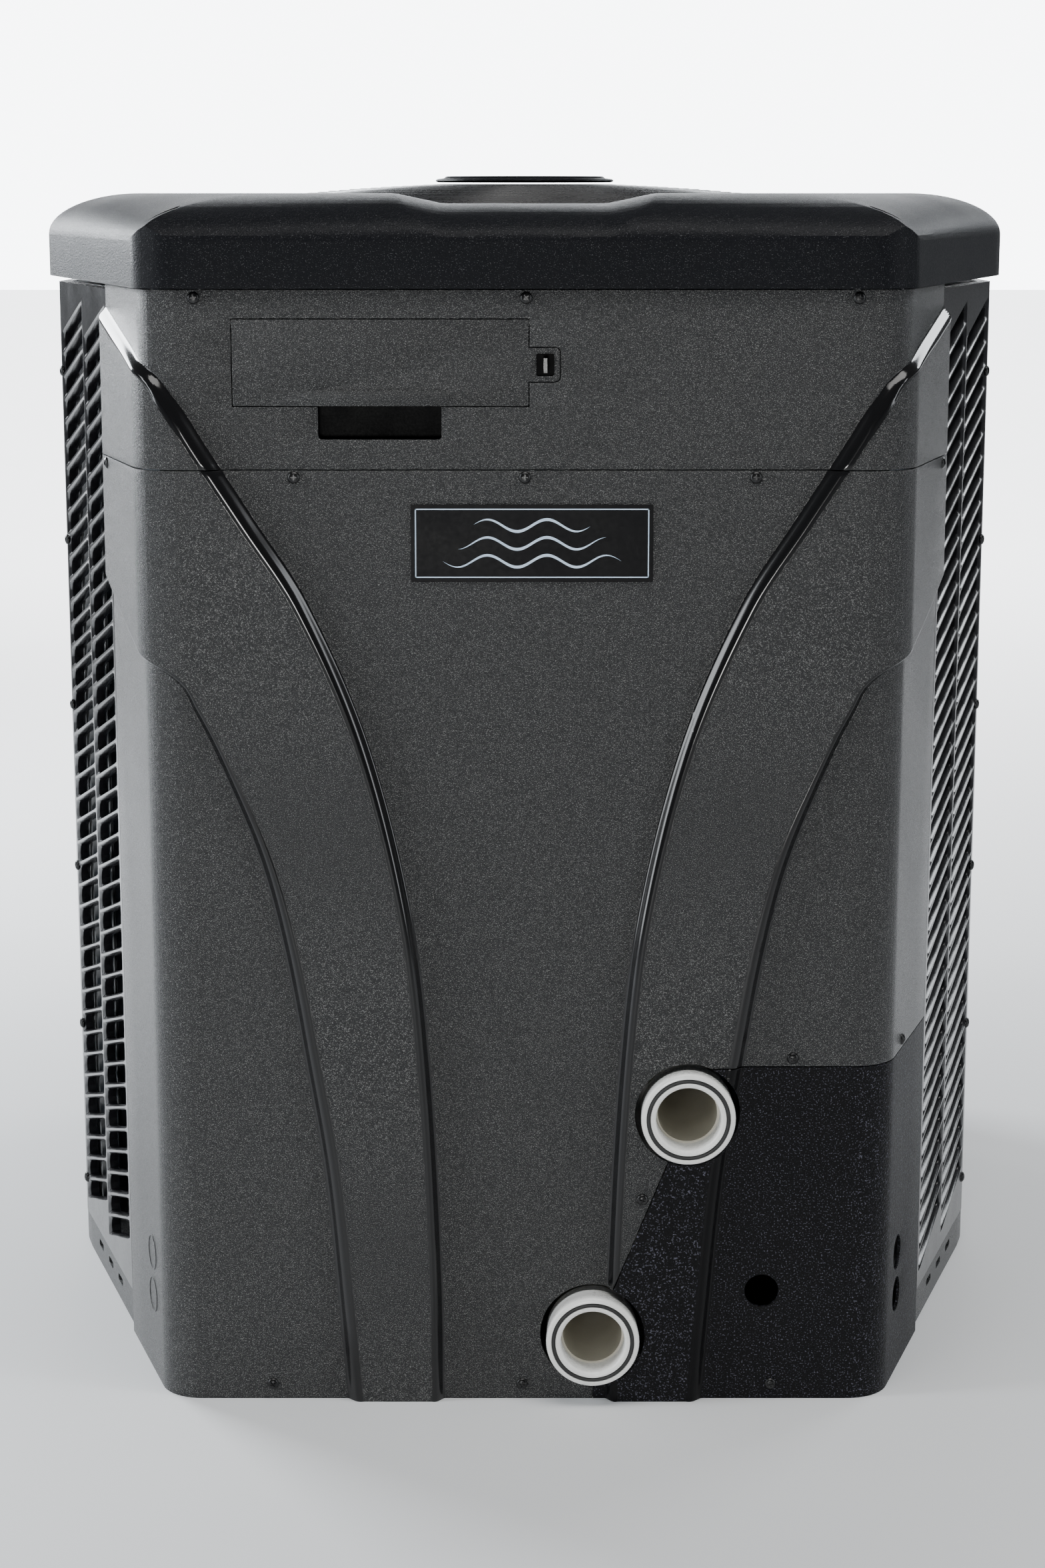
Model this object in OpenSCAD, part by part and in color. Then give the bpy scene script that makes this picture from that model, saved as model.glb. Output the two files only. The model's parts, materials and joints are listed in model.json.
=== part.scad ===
/* [Cabinet] */
// Width of the flat front face, corner to corner before rounding
face_w = 630; // [520:5:700]
// Distance from the middle of the cabinet to its front face
half_depth = 465; // [440:1:558]
// Angle at which the flanks splay outwards, from straight back
flank_angle = 18.5; // [12:0.5:20]
// Half of the length of the bowed stretch in the middle of each side
side_half = 81; // [60:1:100]
// Radius of the upright corners
corner_r = 40; // [20:1:60]
// Height of the rim around the air outlet
rim_z = 1050; // [1040:1:1260]
// Height of the top cover, from the panels to the rim
cover_h = 77.2; // [60:0.1:85]
// Height of the upper front panel
upper_panel_h = 149.1; // [145:0.1:200]
// Depth of flank that the front panels wrap around
wrap_depth = 158; // [120:1:190]
// Wall of the moulded panels
skin_t = 3; // [2:0.1:4]
// Gap between neighbouring outer panels
seam_gap = 1; // [0.5:0.1:2]

/* [Base pan] */
// Height of the base pan's wall
pan_h = 40; // [30:1:60]
// Thickness of the base pan's floor
pan_floor = 4; // [3:0.5:8]
// How far the base pan's wall stands in from the panels
pan_inset = 4; // [3.2:0.1:8]

/* [Side grilles] */
// Vertical spacing of the slots
slot_pitch = 21.7; // [18:0.1:28]
// Height of one slot opening
slot_h = 16.5; // [10:0.1:17]
// Width of one slot
slot_w = 104; // [80:1:105]
// Upward slope of the slots, left to right
slot_slope = 17; // [0:1:25]
// Thickness of a grille panel
grille_t = 12; // [6:0.5:14]
// Solid margin above and below the slots
grille_margin = 14; // [8:1:30]

/* [Top cover] */
// How far the cover overhangs the panels
cover_over = 5; // [3:0.5:8]
// Height of the cover's upright edge
fascia_h = 38.6; // [25:0.1:50]
// Width of the rounded shoulder
shoulder_w = 92; // [60:1:96]
// Radius of the air outlet
outlet_r = 371; // [350:1:374]
// Depth of the dip in the front of the rim
dip_h = 8.6; // [4:0.1:14]
// Half width of the dip at the rim
dip_half = 110; // [80:1:140]

/* [Fan] */
// Radius to the tips of the blades
fan_r = 298; // [250:1:300]
// Clearance between blade tips and shroud
tip_gap = 10; // [6:0.5:20]
// Number of blades
blade_n = 4; // [3:1:5]
// Pitch of the blades
blade_pitch = 20; // [12:1:22]
// Radius of the motor shaft
shaft_r = 6.35; // [5:0.01:10]
// Radius of the fan motor
motor_r = 75; // [60:1:80]
// Number of rings in the guard
ring_n = 28; // [16:1:32]
// Width of one guard ring
ring_w = 4; // [3:0.1:5]

/* [Water connections] */
// Outside radius of a union
union_r = 41; // [36:0.5:42]
// Radius of the water passage
bore_r = 28; // [22:0.5:28]
// Outside radius of the water pipes
pipe_r = 30.15; // [29:0.01:36.2]
// How far a union stands out from the front face
union_out = 22; // [14:1:40]
// Position of the inlet across the front
inlet_x = 141.6; // [130:0.1:160]
// Height of the inlet
inlet_z = 265; // [240:1:300]
// Position of the outlet across the front
outlet_x = 59.7; // [50:0.1:75]
// Height of the outlet
outlet_z = 61; // [56:1:80]
// Radius of the wiring entry
entry_r = 15; // [11:0.5:16]

/* [Control door] */
// Width of the door
door_w = 246.7; // [200:0.1:250]
// Height of the door's opening
door_h = 72.7; // [60:0.1:76]
// Clearance around the door
door_gap = 0.3; // [0.2:0.05:1]
// Radius of the hinge barrel
barrel_r = 3; // [2.5:0.1:3.2]
// Radius of the hinge pin
pin_r = 1.25; // [1:0.05:1.5]
// Radius of the control buttons
button_r = 7; // [5:0.1:8]
// Clearance around each button
button_gap = 0.3; // [0.2:0.05:0.6]

/* [Machinery] */
// Radius of the compressor's shell
comp_r = 85; // [75:1:95]
// Height of the compressor's shell
comp_h = 400; // [320:5:440]
// Radius of the water heat exchanger
hx_r = 90; // [80:1:94]
// Height of the water heat exchanger
hx_h = 590; // [480:5:640]
// Thickness of the finned coil
coil_t = 44; // [30:1:60]

/* [Hidden] */
$fn = 96;
eps = 0.01;

// Heights that the pieces share
panel_top_z = rim_z - cover_h;
seam_z = panel_top_z - upper_panel_h;
grille_z0 = pan_h + 0.5;
grille_z1 = panel_top_z - 5;
access_top = 307;
band_out = 8;

function unit(v) = v / norm(v);
function cross2(a, b) = a[0] * b[1] - a[1] * b[0];

// Corners of the cabinet seen from above, anticlockwise from the front left
face_half = face_w / 2;
front_y = -half_depth;
crease_x = face_half + (half_depth - side_half) * tan(flank_angle);
bow_r = side_half / sin(flank_angle);
bow_cx = crease_x - bow_r * cos(flank_angle);
side_x = bow_cx + bow_r;
bow_steps = 6;
function bow(sx, sy) = [
    for (i = [0:bow_steps])
    let (a = -flank_angle + 2 * flank_angle * i / bow_steps)
    [sx * (bow_cx + bow_r * cos(a)), sy * bow_r * sin(a)]
];
cabinet = concat(
    [[-face_half, front_y], [face_half, front_y]], bow(1, 1),
    [[face_half, half_depth], [-face_half, half_depth]], bow(-1, -1)
);

cabinet_chords = concat(
    [[-face_half, front_y], [face_half, front_y], [crease_x, -side_half], [crease_x, side_half]],
    [[face_half, half_depth], [-face_half, half_depth], [-crease_x, side_half], [-crease_x, -side_half]]
);

// Moves every edge of an anticlockwise outline inwards by d
function inset(pts, d) = let (n = len(pts)) [
    for (i = [0:n - 1])
    let (p = pts[(i + n - 1) % n], q = pts[i], r = pts[(i + 1) % n])
    let (u = unit(q - p), v = unit(r - q), w = [-u[1], u[0]] + [-v[1], v[0]])
    q + w * d * 2 / (w * w)
];

// Replaces each corner that turns by more than 30 degrees with an arc
function rounded(pts, r, steps = 8) = let (n = len(pts)) [
    for (i = [0:n - 1])
    let (p = pts[(i + n - 1) % n], q = pts[i], s = pts[(i + 1) % n])
    let (u = unit(q - p), v = unit(s - q), turn = atan2(cross2(u, v), u * v))
    let (start = q - u * r * tan(turn / 2), c = start + [-u[1], u[0]] * r, a0 = atan2(u[1], u[0]) - 90)
    each (turn < 30 ? [q] : [for (k = [0:steps]) c + r * [cos(a0 + turn * k / steps), sin(a0 + turn * k / steps)]])
];

module plan(d, r) {
    polygon(rounded(inset(cabinet, d), is_undef(r) ? max(corner_r - d, 6) : r));
}

// A band of the cabinet's outline between two insets and two heights
module wall(d0, d1, z0, z1) {
    translate([0, 0, z0]) linear_extrude(z1 - z0) difference() {
        plan(d0);
        plan(d1);
    }
}

module box(lo, hi) {
    translate(lo) cube(hi - lo);
}

// Puts local x along the edge from a to b, y up and z straight out
module on_edge(a, b) {
    translate([a[0], a[1], 0])
        rotate([0, 0, atan2(b[1] - a[1], b[0] - a[0])])
            rotate([90, 0, 0]) children();
}

// Local z points out of the front face at (x, z)
module on_front(x, z) {
    translate([x, front_y, z]) rotate([90, 0, 0]) children();
}

// Local z points out of a flank, side -1 left or 1 right, at a depth and a height
module on_flank(side, depth, z) {
    translate([side * (face_half + depth * tan(flank_angle)), front_y + depth, z])
        rotate([0, 0, side * (90 - flank_angle)])
            rotate([90, 0, 0]) children();
}

// A round tube through a list of points, with a brazed collar at each bend
module tube_run(pts, r) {
    for (i = [0:len(pts) - 2]) rod(pts[i], pts[i + 1], r);
    if (len(pts) > 2) for (i = [1:len(pts) - 2]) translate(pts[i]) sphere(r * 1.15);
}

module rod(a, b, r) {
    d = b - a;
    translate(a)
        rotate([0, acos(d[2] / norm(d)), atan2(d[1], d[0])])
            cylinder(r = r, h = norm(d));
}

// ---- Fasteners ----
screw_head_r = 5.25;
screw_head_h = 2.8;
screw_shank_r = 2.1;
screw_len = 13;
screw_hole_r = 2.4;
upper_screw_x = [-273.5, 1, 276];
upper_screw_z = panel_top_z - 7.4;
lower_screw_x = [-193, 0, 193];
lower_screw_z = seam_z - 6.2;
foot_screw_x = [-223.5, -2.4, 218];
foot_screw_z = 14;
access_screws = [[232.6, access_top + 7, 0], [102.8, 188, band_out]];
flank_screw_depth = 139;
crease_screw_n = 6;
crease_screw_z0 = 76;
crease_screw_z1 = grille_z1 - 84.3;
crease_screw_pitch = (crease_screw_z1 - crease_screw_z0) / (crease_screw_n - 1);
flank_len = (half_depth - side_half) / cos(flank_angle);

module front_screw_places() {
    for (x = upper_screw_x) on_front(x, upper_screw_z) children();
    for (x = lower_screw_x) on_front(x, lower_screw_z) children();
    for (x = foot_screw_x) on_front(x, foot_screw_z) children();
    for (p = access_screws) on_front(p[0], p[1]) translate([0, 0, p[2]]) children();
    for (side = [-1, 1]) on_flank(side, flank_screw_depth, lower_screw_z) children();
    on_flank(1, 60, access_top + 7) children();
}

module crease_screw_places() {
    for (side = [-1, 1])
        for (i = [0:crease_screw_n - 1])
            on_flank(side, half_depth - side_half - 5.5, crease_screw_z0 + i * crease_screw_pitch)
                children();
}

module screw() {
    difference() {
        union() {
            cylinder(r = screw_head_r, h = screw_head_h);
            translate([0, 0, -screw_len]) cylinder(r = screw_shank_r, h = screw_len + eps);
        }
        for (a = [0, 90]) rotate([0, 0, a])
            box([-3, -0.6, screw_head_h - 1.6], [3, 0.6, screw_head_h + 1]);
    }
}

module screw_holes() {
    front_screw_places() translate([0, 0, -screw_len - 1])
        cylinder(r = screw_hole_r, h = screw_len + 1 + band_out);
}

module cabinet_screws() {
    color("dimgray") {
        front_screw_places() screw();
        crease_screw_places() screw();
    }
}

// ---- Front panels ----
// Distance of the inner and the outer styling line from the centre, at height z
function inner_line(z) = 79 - 11.5 * z / 800 + 175 * pow(z / 800, 3);
function outer_line(z) = 149 + 73.5 * z / 800 + 196 * pow(z / 800, 4);
face_flat = face_half - corner_r * tan((90 - flank_angle) / 2);
band_steps = 24;

module raised_band(side) {
    zs = [for (i = [0:band_steps]) seam_z * i / band_steps];
    outer = [for (z = zs) [side * min(outer_line(z), face_flat), z]];
    inner = [for (i = [band_steps:-1:0]) [side * min(inner_line(zs[i]), face_flat - 4), zs[i]]];
    on_front(0, 0) translate([0, 0, -eps]) linear_extrude(band_out + eps) polygon(concat(outer, inner));
}

module front_region(z0, z1) {
    box([-side_x - 50, front_y - 50, z0], [side_x + 50, front_y + wrap_depth, z1]);
}

module access_region(gap) {
    far = side_x + 60;
    on_front(0, 0) translate([0, 0, -wrap_depth - 1]) linear_extrude(wrap_depth + 60)
        polygon([
            [outlet_x + gap, -1], [outlet_x + gap, outlet_z], [inlet_x + gap, inlet_z],
            [inlet_x + gap, access_top - gap], [far, access_top - gap], [far, -1]
        ]);
}

module union_holes() {
    for (p = [[inlet_x, inlet_z], [outlet_x, outlet_z]])
        on_front(p[0], p[1]) translate([0, 0, -20]) cylinder(r = union_r + 5, h = 50);
}

module lower_skin() {
    intersection() {
        wall(0, skin_t, 0, seam_z - seam_gap / 2);
        front_region(-1, rim_z);
    }
    for (side = [-1, 1]) intersection() {
        raised_band(side);
        front_region(0, seam_z - seam_gap / 2);
    }
}

module lower_front_panel() {
    color([0.05, 0.05, 0.06]) difference() {
        lower_skin();
        access_region(0);
        union_holes();
        screw_holes();
    }
}

knockout_z = [114, 74];
knockout_r = 16;
entry_x = 208.8;
entry_z = 101;

module pipe_access_panel() {
    color([0.05, 0.05, 0.06]) difference() {
        intersection() {
            lower_skin();
            access_region(seam_gap);
        }
        union_holes();
        screw_holes();
        on_front(entry_x, entry_z) translate([0, 0, -20]) cylinder(r = entry_r, h = 40);
        for (z = knockout_z) on_flank(1, 62, z) translate([0, 0, -10]) cylinder(r = knockout_r, h = 20);
    }
}

// ---- Control door and what is behind it ----
door_x1 = 3.9;
door_x0 = door_x1 - door_w - 2 * door_gap;
door_z0 = seam_z + 52.2;
door_z1 = door_z0 + door_h;
tab_x1 = door_x1 + 26;
tab_z0 = door_z0 + 20;
tab_z1 = tab_z0 + 29.5;
door_t = skin_t - 0.2;
hinge_y = front_y + barrel_r;
hinge_z = door_z1 - door_gap - barrel_r;
finger_x0 = -172;
finger_x1 = -69.3;
finger_z0 = door_z0 - 27;
finger_depth = 16;
tray_depth = 30;
tray_wall = 3;
tray_y = front_y + skin_t;
tray_floor_y = tray_y + tray_depth;
staple_x = door_x1 + 13;
staple_z = (tab_z0 + tab_z1) / 2;
staple_t = 3;
staple_out = 11;
staple_hole = 6;

module upper_front_panel() {
    color([0.05, 0.05, 0.06]) difference() {
        intersection() {
            wall(0, skin_t, seam_z + seam_gap / 2, panel_top_z - seam_gap);
            front_region(0, rim_z);
        }
        box([door_x0, front_y - 9, door_z0], [door_x1, tray_y + 1, door_z1]);
        box([door_x1 - 1, front_y - 9, tab_z0], [tab_x1, tray_y + 1, tab_z1]);
        box([finger_x0, front_y - 9, finger_z0], [finger_x1, tray_y + 1, door_z0 + 1]);
        hinge_pin_bore();
        screw_holes();
    }
}

button_x = [-70, -42, -14];
button_z = door_z0 + 30;
button_out = 2;
window_x0 = -205;
window_x1 = -105;
window_z0 = door_z0 + 18;
window_z1 = door_z0 + 56;

module control_tray() {
    color([0.12, 0.12, 0.13]) difference() {
        union() {
            box([door_x0 - tray_wall, tray_y, door_z0 - tray_wall],
                [door_x1 + tray_wall, tray_floor_y + tray_wall, door_z1 + tray_wall]);
            box([finger_x0 - tray_wall, tray_y, finger_z0 - tray_wall],
                [finger_x1 + tray_wall, tray_y + finger_depth + tray_wall, door_z0]);
            box([door_x1, tray_y, tab_z0 - 2], [tab_x1 + 3, tray_y + 4, tab_z1 + 2]);
        }
        box([door_x0, tray_y - 1, door_z0], [door_x1, tray_floor_y, door_z1]);
        box([finger_x0, tray_y - 1, finger_z0], [finger_x1, tray_y + finger_depth, door_z0 + 1]);
        box([door_x1 + tray_wall, tray_y - 1, tab_z0], [tab_x1, tray_y + 1, tab_z1]);
        box([staple_x - staple_t / 2, tray_y - 1, staple_z - 6],
            [staple_x + staple_t / 2, tray_y + 5, staple_z + 6]);
        for (x = button_x) translate([x, tray_floor_y - 1, button_z]) rotate([-90, 0, 0])
            cylinder(r = button_r + button_gap, h = tray_wall + 2);
        box([window_x0, tray_floor_y - 1, window_z0], [window_x1, tray_floor_y + tray_wall + 1, window_z1]);
        hinge_pin_bore();
    }
}

// The pin is held in the panel and the tray, half in each
module hinge_pin_bore() {
    translate([door_x0 - tray_wall - 1, hinge_y, hinge_z]) rotate([0, 90, 0])
        cylinder(r = pin_r + 0.02, h = door_w + 2 * tray_wall + 4);
}

module display_window() {
    color([0.25, 0.32, 0.30])
        box([window_x0 + 0.1, tray_floor_y + 0.5, window_z0 + 0.1],
            [window_x1 - 0.1, tray_floor_y + tray_wall, window_z1 - 0.1]);
}

module button(x) {
    color([0.55, 0.56, 0.58]) translate([x, tray_floor_y - button_out, button_z]) rotate([-90, 0, 0]) {
        cylinder(r = button_r, h = button_out + tray_wall + button_gap);
        translate([0, 0, button_out + tray_wall + button_gap]) cylinder(r = button_r + 2, h = 1.5);
    }
}

module up_button() { button(button_x[0]); }
module down_button() { button(button_x[1]); }
module mode_button() { button(button_x[2]); }

bump_x0 = -177;
bump_x1 = -63.6;
bump_h = 13.6;
bump_out = 2;
tab_hole_w = 15;
tab_hole_h = 18.5;

module control_door() {
    color([0.06, 0.06, 0.07]) difference() {
        union() {
            box([door_x0 + door_gap, front_y, door_z0 + door_gap],
                [door_x1 - door_gap, front_y + door_t, hinge_z]);
            translate([door_x0 + door_gap, hinge_y, hinge_z]) rotate([0, 90, 0])
                cylinder(r = barrel_r, h = door_w);
            box([door_x1 - 1, front_y, tab_z0 + door_gap],
                [tab_x1 - door_gap, front_y + door_t, tab_z1 - door_gap]);
            box([bump_x0, front_y - bump_out, door_z0 + door_gap],
                [bump_x1, front_y + eps, door_z0 + bump_h]);
        }
        translate([door_x0 - 1, hinge_y, hinge_z]) rotate([0, 90, 0])
            cylinder(r = pin_r + 0.05, h = door_w + 4);
        box([staple_x - tab_hole_w / 2, front_y - 1, staple_z - tab_hole_h / 2],
            [staple_x + tab_hole_w / 2, front_y + door_t + 1, staple_z + tab_hole_h / 2]);
    }
}

module door_hinge_pin() {
    color("silver") translate([door_x0 - tray_wall, hinge_y, hinge_z]) rotate([0, 90, 0])
        cylinder(r = pin_r, h = door_w + 2 * door_gap + 2 * tray_wall);
}

module lock_staple() {
    color("silver") difference() {
        box([staple_x - staple_t / 2, front_y - staple_out, staple_z - 6],
            [staple_x + staple_t / 2, tray_y + 4, staple_z + 6]);
        box([staple_x - 5, front_y - 3 - staple_hole, staple_z - staple_hole / 2],
            [staple_x + 5, front_y - 3, staple_z + staple_hole / 2]);
    }
}

label_w = 203;
label_h = 65;
label_x = 6;
label_z = 762.5;

module label_plate() {
    color([0.08, 0.09, 0.11])
        box([label_x - label_w / 2, front_y - 1, label_z - label_h / 2],
            [label_x + label_w / 2, front_y, label_z + label_h / 2]);
}

// ---- Grilles ----
slot_rise = slot_w * tan(slot_slope);
slot_rows = floor((grille_z1 - grille_z0 - 2 * grille_margin - slot_rise - slot_h) / slot_pitch) + 1;
slots_h = (slot_rows - 1) * slot_pitch + slot_rise + slot_h;
slot_z0 = (grille_z0 + grille_z1 - slots_h) / 2;
mitre_gap = 2;

module grille(a, b, cols, s0, s1) {
    len_used = s1 - s0;
    rib = (len_used - cols * slot_w) / (cols + 1);
    frame = [[s0, grille_z0], [s1, grille_z0], [s1, grille_z1], [s0, grille_z1]];
    slots = [
        for (c = [0:cols - 1])
        for (r = [0:slot_rows - 1])
        let (x = s0 + rib + c * (slot_w + rib), z = slot_z0 + r * slot_pitch)
        each [[x, z], [x + slot_w, z + slot_rise], [x + slot_w, z + slot_rise + slot_h], [x, z + slot_h]]
    ];
    holes = [for (i = [0:cols * slot_rows - 1]) [for (k = [0:3]) 4 + 4 * i + k]];
    color([0.02, 0.02, 0.025]) difference() {
        on_edge(a, b) translate([0, 0, -grille_t]) linear_extrude(grille_t)
            polygon(concat(frame, slots), concat([[0, 1, 2, 3]], holes));
        crease_screw_places() translate([0, 0, -screw_len - 1])
            cylinder(r = screw_hole_r, h = screw_len + 2);
    }
}

corner_cut = corner_r * tan((90 - flank_angle) / 2) + 1;
wrap_s = wrap_depth / cos(flank_angle) + 1;
fl = [-face_half, front_y];
fr = [face_half, front_y];
crf = [crease_x, -side_half];
crr = [crease_x, side_half];
rr = [face_half, half_depth];
rl = [-face_half, half_depth];
clr = [-crease_x, side_half];
clf = [-crease_x, -side_half];

module right_front_grille() { grille(fr, crf, 2, wrap_s, flank_len - mitre_gap); }
module right_side_grille() { grille(crf, crr, 1, mitre_gap, 2 * side_half - mitre_gap); }
module right_rear_grille() { grille(crr, rr, 3, mitre_gap, flank_len - corner_cut); }
module rear_grille() { grille(rr, rl, 5, corner_cut, face_w - corner_cut); }
module left_rear_grille() { grille(rl, clr, 3, corner_cut, flank_len - mitre_gap); }
module left_side_grille() { grille(clr, clf, 1, mitre_gap, 2 * side_half - mitre_gap); }
module left_front_grille() { grille(clf, fl, 2, mitre_gap, flank_len - wrap_s); }

// What the rear grilles leave of the outline at a rear corner, square to both edges
module corner_kite(side) {
    reach = corner_cut - 0.5;
    along_flank = [side * sin(flank_angle), -cos(flank_angle)];
    along_rear = [-side, 0];
    half_corner = (90 + flank_angle) / 2;
    corner = [side * face_half, half_depth];
    inner = corner + unit(along_flank + along_rear) * reach / cos(half_corner);
    polygon([corner, corner + along_flank * reach, inner, corner + along_rear * reach]);
}

module rear_corner_posts() {
    color([0.02, 0.02, 0.025]) intersection() {
        wall(0, grille_t, grille_z0, grille_z1);
        translate([0, 0, grille_z0 - 1]) linear_extrude(grille_z1 - grille_z0 + 2)
            for (side = [-1, 1]) corner_kite(side);
    }
}

// ---- Base pan and inner frame ----
pan_wall = 3;
comp_x = -150;
comp_y = -120;
hx_x = (inlet_x + outlet_x) / 2;
hx_y = -170;
stand_h = 10;
coil_inset = 52;
coil_front = 185;
coil_z0 = pan_floor + stand_h;
coil_z1 = rim_z - 110;

module base_pan() {
    color([0.05, 0.05, 0.06]) difference() {
        union() {
            linear_extrude(pan_floor) plan(pan_inset);
            wall(pan_inset, pan_inset + pan_wall, 0, pan_h);
            translate([comp_x, comp_y, 0]) cylinder(r = comp_r + 25, h = pan_floor + stand_h / 2);
            translate([hx_x, hx_y, 0]) cylinder(r = hx_r - 15, h = pan_floor + stand_h);
            coil_band(8, pan_floor - 1, coil_z0);
        }
        union_holes();
        screw_holes();
        translate([0, 160, -1]) cylinder(r = 12, h = pan_floor + 2);
        for (side = [-1, 1]) for (s = [250, 300, 350])
            on_flank(side, s * cos(flank_angle), pan_h / 2) pan_slot();
    }
}

module pan_slot() {
    translate([0, 0, -20]) linear_extrude(30) {
        square([16, 7], center = true);
        for (x = [-8, 8]) translate([x, 0]) circle(r = 3.5);
    }
}

module front_region_deep(depth) {
    box([-side_x - 60, front_y - 60, -1], [side_x + 60, front_y + depth, rim_z + 50]);
}

post_w = 16;
post_inset = 13.2;
rail_t = 3;
rail_z0 = panel_top_z - 17;
rail_z1 = panel_top_z - 5;

module post(side, depth) {
    on_flank(side, depth, pan_floor) translate([-post_w / 2, 0, -post_inset - post_w])
        cube([post_w, rail_z0 - pan_floor + 2, post_w]);
}

module inner_frame() {
    color([0.55, 0.57, 0.58]) {
        for (side = [-1, 1]) {
            post(side, wrap_depth + 4);
            post(side, half_depth - side_half - 12);
            mirror([0, 1, 0]) post(side, half_depth - side_half - 12);
            mirror([0, 1, 0]) post(side, 55);
        }
        translate([0, 0, rail_z0]) linear_extrude(rail_z1 - rail_z0) difference() {
            polygon(rounded(inset(cabinet_chords, post_inset), corner_r - post_inset));
            polygon(rounded(inset(cabinet_chords, post_inset + rail_t), corner_r - post_inset - rail_t));
        }
        for (side = [-1, 1])
            on_front(side * (face_half - 35), pan_floor) translate([-8, 0, -post_inset - 8])
                cube([16, rail_z0 - pan_floor + 2, 8]);
        box([-face_half + 27, front_y + post_inset, seam_z - 12],
            [face_half - 27, front_y + post_inset + rail_t, seam_z - 1]);
    }
}

// ---- Top cover and fan guard ----
fascia_top = panel_top_z + fascia_h;
lip_t = 3;
flange_z = rim_z - 32;
arc_steps = 10;

// Solid of one pair of opposite shoulders, dist from the centre, facing angle
module shoulders(dist, angle, d) {
    reach = dist - d;
    z1 = fascia_top - d;
    h = rim_z - fascia_top;
    rise = [for (i = [0:arc_steps]) let (a = 90 * i / arc_steps) [shoulder_w * (1 - cos(a)), z1 + h * sin(a)]];
    left = [for (p = rise) [-reach + p[0], p[1]]];
    right = [for (i = [arc_steps:-1:0]) [reach - rise[i][0], rise[i][1]]];
    rotate([0, 0, angle]) rotate([90, 0, 0]) translate([0, 0, -side_x - 100])
        linear_extrude(2 * side_x + 200)
            polygon(concat([[-reach, panel_top_z - 5]], left, right, [[reach, panel_top_z - 5]]));
}

flank_dist = face_half * cos(flank_angle) + half_depth * sin(flank_angle) + cover_over;
function bow_dist(a) = bow_cx * cos(a) + bow_r + cover_over;

module cover_block(d) {
    intersection() {
        translate([0, 0, panel_top_z - (d > 0 ? 1 : 0)]) linear_extrude(rim_z - panel_top_z + 2)
            plan(d - cover_over);
        shoulders(half_depth + cover_over, 90, d);
        shoulders(flank_dist, flank_angle, d);
        shoulders(flank_dist, -flank_angle, d);
        shoulders(bow_dist(flank_angle / 2), flank_angle / 2, d);
        shoulders(bow_dist(flank_angle / 2), -flank_angle / 2, d);
        shoulders(bow_dist(0), 0, d);
    }
}

dip_floor_half = dip_half - 40;
module dip(drop) {
    z = rim_z - dip_h - drop;
    on_front(0, 0) translate([0, 0, -half_depth + outlet_r - 60]) linear_extrude(half_depth - outlet_r + 120)
        polygon([[-dip_floor_half, z], [dip_floor_half, z], [dip_half, rim_z - drop],
            [dip_half, rim_z + 30], [-dip_half, rim_z + 30], [-dip_half, rim_z - drop]]);
}

corner_bisector = (90 + flank_angle) / 2;
module crescent(side) {
    mirror([side > 0 ? 0 : 1, 0, 0])
        translate([face_half, front_y, fascia_top - 6])
            rotate([0, 0, 90 + corner_bisector / 2])
                translate([46, -4, 0]) linear_extrude(60) difference() {
                    translate([0, -26]) circle(r = 40);
                    translate([0, -36]) circle(r = 44);
                }
}

module top_cover() {
    color([0.05, 0.05, 0.06]) difference() {
        union() {
            difference() {
                cover_block(0);
                dip(0);
                difference() {
                    cover_block(skin_t);
                    dip(skin_t);
                }
                translate([0, 0, panel_top_z - 5]) cylinder(r = outlet_r, h = 100);
            }
            difference() {
                translate([0, 0, flange_z]) cylinder(r = outlet_r + lip_t, h = rim_z - flange_z);
                dip(0);
            }
        }
        translate([0, 0, flange_z - 1]) cylinder(r = outlet_r, h = 100);
        for (side = [-1, 1]) crescent(side);
    }
}

disc_r = motor_r + 11.5;
disc_top = rim_z + 16;
dome_top = disc_top - 6;
guard_r = outlet_r - 1.5;
spoke_h = 5;
spoke_n = 8;
ring_pitch = (guard_r - disc_r) / ring_n;
function dome(r) = dome_top - (r / 213) * (r / 213) * 10;

module dome_band(lo, hi) {
    rs = [for (i = [0:8]) guard_r * i / 8];
    rotate_extrude() polygon(concat(
        [for (r = rs) [r, dome(r) + hi]],
        [for (i = [8:-1:0]) [rs[i], dome(rs[i]) + lo]]
    ));
}

module fan_guard() {
    color([0.02, 0.02, 0.025]) {
        for (i = [0:ring_n - 1]) let (r = disc_r + i * ring_pitch)
            translate([0, 0, dome(r + ring_w / 2) - ring_w - 0.3])
                difference() {
                    cylinder(r = r + ring_w, h = ring_w);
                    translate([0, 0, -1]) cylinder(r = r, h = ring_w + 2);
                }
        intersection() {
            dome_band(-ring_w - spoke_h, -ring_w);
            union() {
                for (i = [0:spoke_n / 2 - 1]) rotate([0, 0, 180 * i / (spoke_n / 2) + 22.5])
                    box([-guard_r, -3, rim_z - 60], [guard_r, 3, rim_z + 60]);
                cylinder(r = motor_r + 15, h = 2 * rim_z);
            }
        }
        difference() {
            translate([0, 0, flange_z]) cylinder(r = guard_r, h = dome(guard_r) - flange_z);
            translate([0, 0, flange_z - 1]) cylinder(r = guard_r - ring_w, h = 60);
        }
    }
}

module guard_centre_disc() {
    color([0.05, 0.05, 0.06]) translate([0, 0, dome_top]) {
        cylinder(r = disc_r, h = 3);
        translate([0, 0, 3]) cylinder(r1 = disc_r, r2 = disc_r - 5, h = disc_top - dome_top - 3);
    }
}

shroud_r = fan_r + tip_gap;
shroud_t = 3;
shroud_z0 = rim_z - 215;
bell = [
    [0, shroud_z0], [0, rim_z - 125], [3, rim_z - 100], [12, rim_z - 70], [30, rim_z - 46], [50, flange_z]
];
flange_out = 30;

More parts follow.
